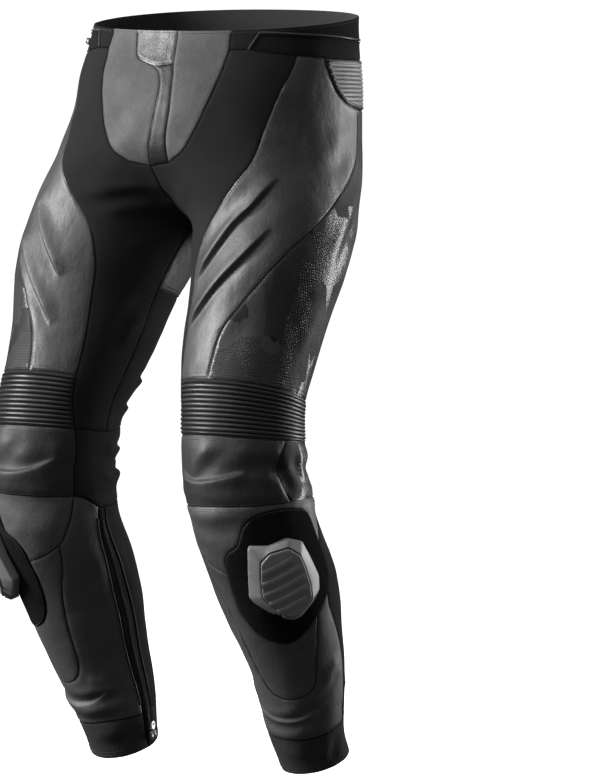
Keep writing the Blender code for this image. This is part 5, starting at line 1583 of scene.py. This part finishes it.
def rounded(loop, reach=2.2):
    """Every corner turned into a short curve, with a point before and after it that keeps the sides flat."""
    scale = np.array([68.0 * math.pi / 180, 1.0])
    loop = np.array(loop, float) * scale
    before, after = np.roll(loop, 1, axis=0), np.roll(loop, -1, axis=0)
    back, ahead = unit(before - loop), unit(after - loop)
    short = np.minimum(np.linalg.norm(before - loop, axis=1), np.linalg.norm(after - loop, axis=1))
    reach = np.minimum(reach, 0.3 * short)[:, None]
    rows = [loop + back * reach * 1.5]
    for share in (0.0, 0.33, 0.67, 1.0):
        rows.append(loop + back * reach * (1 - share) ** 2 + ahead * reach * share**2)
    rows.append(loop + ahead * reach * 1.5)
    return np.stack(rows, axis=1).reshape(-1, 2) / scale


def lofted(rings, capped):
    """Faces of rings of equal counts, closed at both ends."""
    count = len(rings[0])
    faces = []
    for k in range(len(rings) - 1):
        for i in range(count):
            j = (i + 1) % count
            faces.append((k * count + i, k * count + j, (k + 1) * count + j, (k + 1) * count + i))
    if capped:
        faces.append(tuple(reversed(range(count))))
        last = (len(rings) - 1) * count
        faces.append(tuple(last + i for i in range(count)))
    return np.vstack(rings), faces


def over_cloth(pattern, height, half):
    pattern = np.asarray(pattern, float)
    placed = place(pattern[:, 0], pattern[:, 1])
    normals = outward(placed, pattern[:, 1])
    return on_half(placed + normals * np.broadcast_to(height, (len(pattern),))[:, None], half)


# The outline of the slider's face, corner for corner with its foot's.
SLIDER_FACE = (
    (-54.4, 616), (-58.3, 632.5), (-61.4, 652), (-58, 662), (-54.5, 667.5), (-49.4, 678), (-45, 682), (-39.3, 680.4),
    (-32, 675.5), (-26.5, 668.5), (-24.6, 655), (-23.5, 632), (-24, 618.5), (-31.4, 607.5), (-46.5, 608.5),
)
# Rings of the shell: how far from the foot's outline to the face's, the share of that size, and how high over the cloth.
SHELL_RINGS = (
    (0.10, 1.0, 2.0), (0.04, 1.0, 2.2), (0.0, 1.0, 3.4), (0.0, 1.0, 11.4), (0.01, 1.0, 12.2), (0.04, 1.0, 12.9),
    (0.08, 1.0, 13.3), (0.14, 1.0, 13.9), (0.86, 1.0, 18.2), (0.92, 1.0, 18.7), (0.96, 1.0, 18.9),
    (1.0, 1.0, 18.9), (1.0, 0.985, 18.6), (1.0, 0.975, 17.6), (1.0, 0.3, 17.6),
)
FACE_RINGS = ((0.955, 18.0), (0.955, 20.2), (0.945, 20.8), (0.925, 21.2), (0.90, 21.3), (0.4, 21.3), (0.1, 21.3))
NOTCH = 4  # the corner of the foot before the shell's notch
BARS = ((-22.0, 14.0), (-11.0, 18.5), (0.0, 19.5), (11.0, 18.0), (22.0, 13.5))


def bar(drop, half_width, half):
    """A low slanted bar across the slider's face, following its curve."""
    steps = 16
    middle_bearing, middle_drop = SLIDER_MIDDLE
    scale = 68.0 * math.pi / 180
    across = np.linspace(-half_width, half_width, steps)
    rings = []
    for offset, height in ((-2.9, 21.2), (-2.9, 22.1), (-2.4, 22.5), (2.4, 22.5), (2.9, 22.1), (2.9, 21.2)):
        line = np.stack([middle_bearing + across / scale, middle_drop + drop + offset - 0.28 * across], axis=1)
        ends = np.minimum(1.0, (half_width - np.abs(across)) / 1.2 + 0.3)
        rings.append(over_cloth(line, 21.2 + (height - 21.2) * ends, half))
    count = len(rings)
    points = np.stack(rings, axis=1).reshape(-1, 3)
    faces = []
    for k in range(steps - 1):
        for i in range(count):
            j = (i + 1) % count
            faces.append((k * count + i, k * count + j, (k + 1) * count + j, (k + 1) * count + i))
    faces.append(tuple(reversed(range(count))))
    faces.append(tuple((steps - 1) * count + i for i in range(count)))
    return points, faces


def faced_out(points, faces):
    """The same faces, turned round if they enclose a negative volume."""
    volume = 0.0
    for face in faces:
        for i in range(1, len(face) - 1):
            a, b, c = points[face[0]], points[face[i]], points[face[i + 1]]
            volume += np.dot(a, np.cross(b, c))
    return faces if volume > 0 else [tuple(reversed(face)) for face in faces]


def side_points(loop, corner, count=9):
    """More points along the side that follows a corner, so that it can be scooped."""
    first, last = loop[corner * 6 + 5], loop[corner * 6 + 6]
    share = np.linspace(0, 1, count + 2)[1:-1, None]
    extra = first + (last - first) * share
    return np.vstack([loop[: corner * 6 + 6], extra, loop[corner * 6 + 6 :]])


for half, _ in LEFT_AND_RIGHT:
    plain = side_points(rounded(SLIDER_FOOT), NOTCH)
    front = side_points(rounded(SLIDER_FACE), NOTCH)
    place_on_side = np.linspace(-1, 1, 11)[1:-1]
    scoop = np.zeros(len(plain))
    scoop[NOTCH * 6 + 6 : NOTCH * 6 + 15] = np.clip((0.62 - np.abs(place_on_side)) / 0.25, 0, 1)
    inward = unit(np.array(SLIDER_MIDDLE) - plain) * 4.6
    rings = []
    for share, size, height in SHELL_RINGS:
        foot = plain + inward * scoop[:, None] if share < 0.5 else plain
        rings.append(over_cloth(shrunk(foot * (1 - share) + front * share, size, size), height, half))
    points, faces = lofted(rings, True)
    piece = small_piece(
        "slider_shell_" + half, points, faced_out(points, faces), "slider_plastic", stands_for=["knee_slider_" + half], smooth=True
    )
    rings = [over_cloth(shrunk(front, size, size), height, half) for size, height in FACE_RINGS]
    points, faces = lofted(rings, True)
    faces = faced_out(points, faces)
    for drop, half_width in BARS:
        more, its = bar(drop, half_width, half)
        its = faced_out(more, its)
        faces.extend(tuple(len(points) + i for i in face) for face in its)
        points = np.vstack([points, more])
    small_piece("slider_front_" + half, points, faces, "face_plastic", stands_for=["slider_face_" + half], smooth=True)


# Rolled edges of the leather beside the calf zip, and the connector zip's turned tapes.
def rolled(name, runs, look, body="trousers"):
    """Thin round cords: each is a pattern line, its half, its radius, and how far it stands off the cloth."""
    points, faces, total = [], [], 0
    for pattern, half, radius, height in runs:
        pattern = evenly(pattern, 3.0)
        placed = place(pattern[:, 0], pattern[:, 1])
        normals = outward(placed, pattern[:, 1])
        here, ways = on_half(placed, half), on_half(normals, half)
        here = here + ways * (creases_at(here) + height)[:, None]
        share = np.minimum(np.arange(len(here)), np.arange(len(here))[::-1])
        thick = radius * np.clip(share / 2.0 + 0.35, 0, 1)
        more, its = cord_over(here, ways, thick)
        its = faced_out(more, its)
        faces.extend(tuple(total + i for i in face) for face in its)
        points.append(more)
        total += len(more)
    return small_piece(name, np.vstack(points), faces, look, body, smooth=True)


for half, _ in LEFT_AND_RIGHT:
    runs = []
    for key, entry, gap in (("shin", "shin_zip", 1.0), ("calf", "calf_zip:turn", 1.0)):
        run = beside(key, PANELS[key], entry, gap)
        runs.append((run[2:-2], half, 1.15, 0.35))
    rolled("rolled_edge_" + half, runs, "leather")
upper = np.vstack([run_of("knit_end"), run_of("knit_zip")[1:]])
lower = np.vstack([run_of("zip_stretch"), run_of("zip_thigh")[1:]])
rolled("connector_tape", [(upper[1:-1] + [0.0, 2.2], half, 0.8, 0.5) for half in "LR"] + [(lower[1:-1], half, 0.6, 0.2) for half in "LR"], "zip_tape")


def chamfered(profile, inset):
    """A closed flat outline moved inward by an equal distance."""
    loop = np.array(profile, float)
    before, after = unit(loop - np.roll(loop, 1, axis=0)), unit(np.roll(loop, -1, axis=0) - loop)
    turned = np.stack([-(before + after)[:, 1], (before + after)[:, 0]], axis=1)
    turned = unit(turned)
    if loop_area(loop) < 0:
        turned = -turned
    cosine = np.maximum((turned * np.stack([-before[:, 1], before[:, 0]], axis=1)).sum(axis=1, keepdims=True), 0.4)
    if loop_area(loop) < 0:
        cosine = np.maximum(-(turned * np.stack([-before[:, 1], before[:, 0]], axis=1)).sum(axis=1, keepdims=True), 0.4)
    return loop + turned * inset / np.abs(cosine)


def loop_area(loop):
    ahead = np.roll(loop, -1, axis=0)
    return (loop[:, 0] * ahead[:, 1] - loop[:, 1] * ahead[:, 0]).sum() / 2


def bevelled(profile, start, end, bevel, frame, half):
    """A solid run along a profile, its end edges chamfered."""
    here, first, second, third = frame
    inner = chamfered(profile, bevel)
    rings = []
    for loop, level in ((inner, start), (np.array(profile, float), start + bevel), (np.array(profile, float), end - bevel), (inner, end)):
        ring = here + first * loop[:, :1] + second * loop[:, 1:] + third * level
        rings.append(on_half(ring, half))
    points, faces = lofted(rings, True)
    return points, faced_out(points, faces)


def ring_solid(outer, inner, start, end, frame, half):
    """A plate with a hole: two outlines of equal counts, joined on both sides."""
    here, first, second, third = frame
    loops = []
    for loop, level in ((outer, start), (outer, end), (inner, end), (inner, start)):
        ring = here + first * loop[:, :1] + second * loop[:, 1:] + third * level
        loops.append(on_half(ring, half))
    count = len(outer)
    faces = []
    for k in range(4):
        a, b = k * count, ((k + 1) % 4) * count
        for i in range(count):
            j = (i + 1) % count
            faces.append((a + i, a + j, b + j, b + i))
    points = np.vstack(loops)
    return points, faced_out(points, faces)


SLIDER_TOP_PROFILE = (
    (-4.2, 0.6), (4.2, 0.6), (4.3, 2.0), (4.0, 3.4), (3.6, 4.6), (3.5, 5.6), (2.5, 5.6), (2.4, 4.2),
    (2.2, 3.5), (0.0, 3.3), (-2.2, 3.5), (-2.4, 4.2), (-2.5, 5.6), (-3.5, 5.6), (-3.6, 4.6), (-4.0, 3.4), (-4.3, 2.0),
)


def pull_outlines():
    """The pull's plate and the hole near its free end, with equal counts of points."""
    angle = np.arange(24) * 2 * math.pi / 24
    hole = np.stack([1.55 * np.sin(angle), 12.4 + 2.2 * np.cos(angle)], axis=1)
    outer = []
    for a in angle:
        way = np.array([math.sin(a), math.cos(a)])
        reach = 99.0
        if abs(way[0]) > 1e-6:
            reach = 2.9 / abs(way[0])
        limit = 3.6 if way[1] > 0 else 5.4
        if abs(way[1]) > 1e-6:
            reach = min(reach, limit / abs(way[1]))
        outer.append(np.array([0.0, 12.4]) + way * reach)
    outer = np.array(outer)
    return outer, hole


def zip_slider(names, bearing, drop, heading, half, lifted, cord):
    """A cast zip slider with two rails, and its pull with a hole, on the pull's own body."""
    here, across, along, out = frame_at(bearing, drop, heading)
    here = here + out * lifted
    points, faces = bevelled(SLIDER_TOP_PROFILE, -4.5, 5.5, 0.5, (here, across, out, along), half)
    small_piece(names[0] + "_cast", points, faces, "zip_metal", stands_for=[names[0]], smooth=True)
    hinge = here + along * 3.5 + out * HINGE_HEIGHT
    stem = ((-1.9, -0.8), (1.9, -0.8), (2.0, 5.4), (2.6, 7.2), (-2.6, 7.2), (-2.0, 5.4))
    points, faces = bevelled(stem, -PULL_HALF, PULL_HALF, 0.25, (hinge, across, along, out), half)
    outer, hole = pull_outlines()
    more, its = ring_solid(outer, hole, -PULL_HALF, PULL_HALF, (hinge, across, along, out), half)
    faces = list(faces) + [tuple(len(points) + i for i in face) for face in its]
    small_piece(names[1] + "_plate", np.vstack([points, more]), faces, "zip_metal", names[1], [names[1]], smooth=True)


for half, _ in LEFT_AND_RIGHT:
    zip_slider((f"calf_slider_{half}", f"calf_pull_{half}"), -178.8, 880.0, (0.0, -10.0), half, 1.2, True)
zip_slider(("connector_slider", "connector_pull"), -24.0, 22.0, (10.0, 4.0), "R", -0.2, False)


# Camera, light and floor, from the photograph's view: degrees and metres.
AZIMUTH, PITCH, DISTANCE = 36.0, 3.9, 9.5
METRES_PER_PIXEL = 0.00122
WAIST_PIXEL = (226.0, 20.0)
turn, tip = math.radians(AZIMUTH), math.radians(PITCH)
BACK = Vector((math.sin(turn) * math.cos(tip), -math.cos(turn) * math.cos(tip), math.sin(tip)))
RIGHT = Vector((math.cos(turn), math.sin(turn), 0.0))
UP = BACK.cross(RIGHT)
TARGET = RIGHT * ((300 - WAIST_PIXEL[0]) * METRES_PER_PIXEL) + UP * ((WAIST_PIXEL[1] - 388.5) * METRES_PER_PIXEL)
camera = bpy.data.objects.new("camera", bpy.data.cameras.new("camera"))
bpy.context.scene.collection.objects.link(camera)
camera.location = TARGET + BACK * DISTANCE
camera.rotation_mode = "QUATERNION"
camera.rotation_quaternion = (-BACK).to_track_quat("-Z", "Y")
camera.data.sensor_width = 36.0
camera.data.lens = 36.0 * DISTANCE / METRES_PER_PIXEL / 777.0
camera.data.clip_start, camera.data.clip_end = 0.1, 400.0
bpy.context.scene.camera = camera


def soft_light(name, right, back, up, width, height, power):
    """An area light placed from the camera's own directions, aimed at the object's middle."""
    lamp = bpy.data.lights.new(name, "AREA")
    lamp.shape = "RECTANGLE"
    lamp.size, lamp.size_y = width, height
    lamp.energy = power
    light = bpy.data.objects.new(name, lamp)
    middle = Vector((0.0, -0.06, -0.45))
    level_back = Vector((math.sin(turn), -math.cos(turn), 0.0))
    light.location = middle + RIGHT * right + level_back * back + Vector((0, 0, up))
    light.rotation_mode = "QUATERNION"
    light.rotation_quaternion = (light.location - middle).to_track_quat("Z", "Y")
    bpy.context.scene.collection.objects.link(light)
    return light


soft_light("key", -3.0, 0.25, 1.1, 0.9, 1.8, 190)
soft_light("rim", 2.2, -1.15, -0.1, 0.5, 2.2, 62)
soft_light("front", -1.3, 2.0, 2.3, 1.2, 1.2, 27)
overhead = bpy.data.objects.new("overhead", bpy.data.lights.new("overhead", "SUN"))
overhead.data.energy = 0.6
overhead.data.angle = math.radians(100)
bpy.context.scene.collection.objects.link(overhead)

world = bpy.data.worlds.new("studio")
bpy.context.scene.world = world
world.use_nodes = True
nodes, links = world.node_tree.nodes, world.node_tree.links
room = nodes["Background"]
room.inputs["Color"].default_value = (1.0, 1.0, 1.0, 1.0)
room.inputs["Strength"].default_value = 0.09
wall = nodes.new("ShaderNodeBackground")
wall.inputs["Strength"].default_value = 1.0
choice, seen = nodes.new("ShaderNodeMixShader"), nodes.new("ShaderNodeLightPath")
links.new(seen.outputs["Is Camera Ray"], choice.inputs["Fac"])
links.new(room.outputs["Background"], choice.inputs[1])
links.new(wall.outputs["Background"], choice.inputs[2])
links.new(choice.outputs["Shader"], nodes["World Output"].inputs["Surface"])
bpy.context.scene.view_settings.view_transform = "Standard"

floor_mesh = bpy.data.meshes.new("floor")
reach, low = 90.0, -0.955
floor_mesh.from_pydata([(-reach, -reach, low), (reach, -reach, low), (reach, reach, low), (-reach, reach, low)], [], [(0, 1, 2, 3)])
floor = bpy.data.objects.new("floor", floor_mesh)
bpy.context.scene.collection.objects.link(floor)
pale = Look("floor_paint", Roughness=0.75, Specular_IOR_Level=0.2, Emission_Color=(1.0, 1.0, 1.0, 1.0), Emission_Strength=0.85)
pale.drive("Base Color", pale.mixed(pale.noise(6.0, 4.0), grey(0.93), grey(0.95)))
floor_mesh.materials.append(pale.material)
floor.visible_diffuse = False
floor.visible_glossy = False
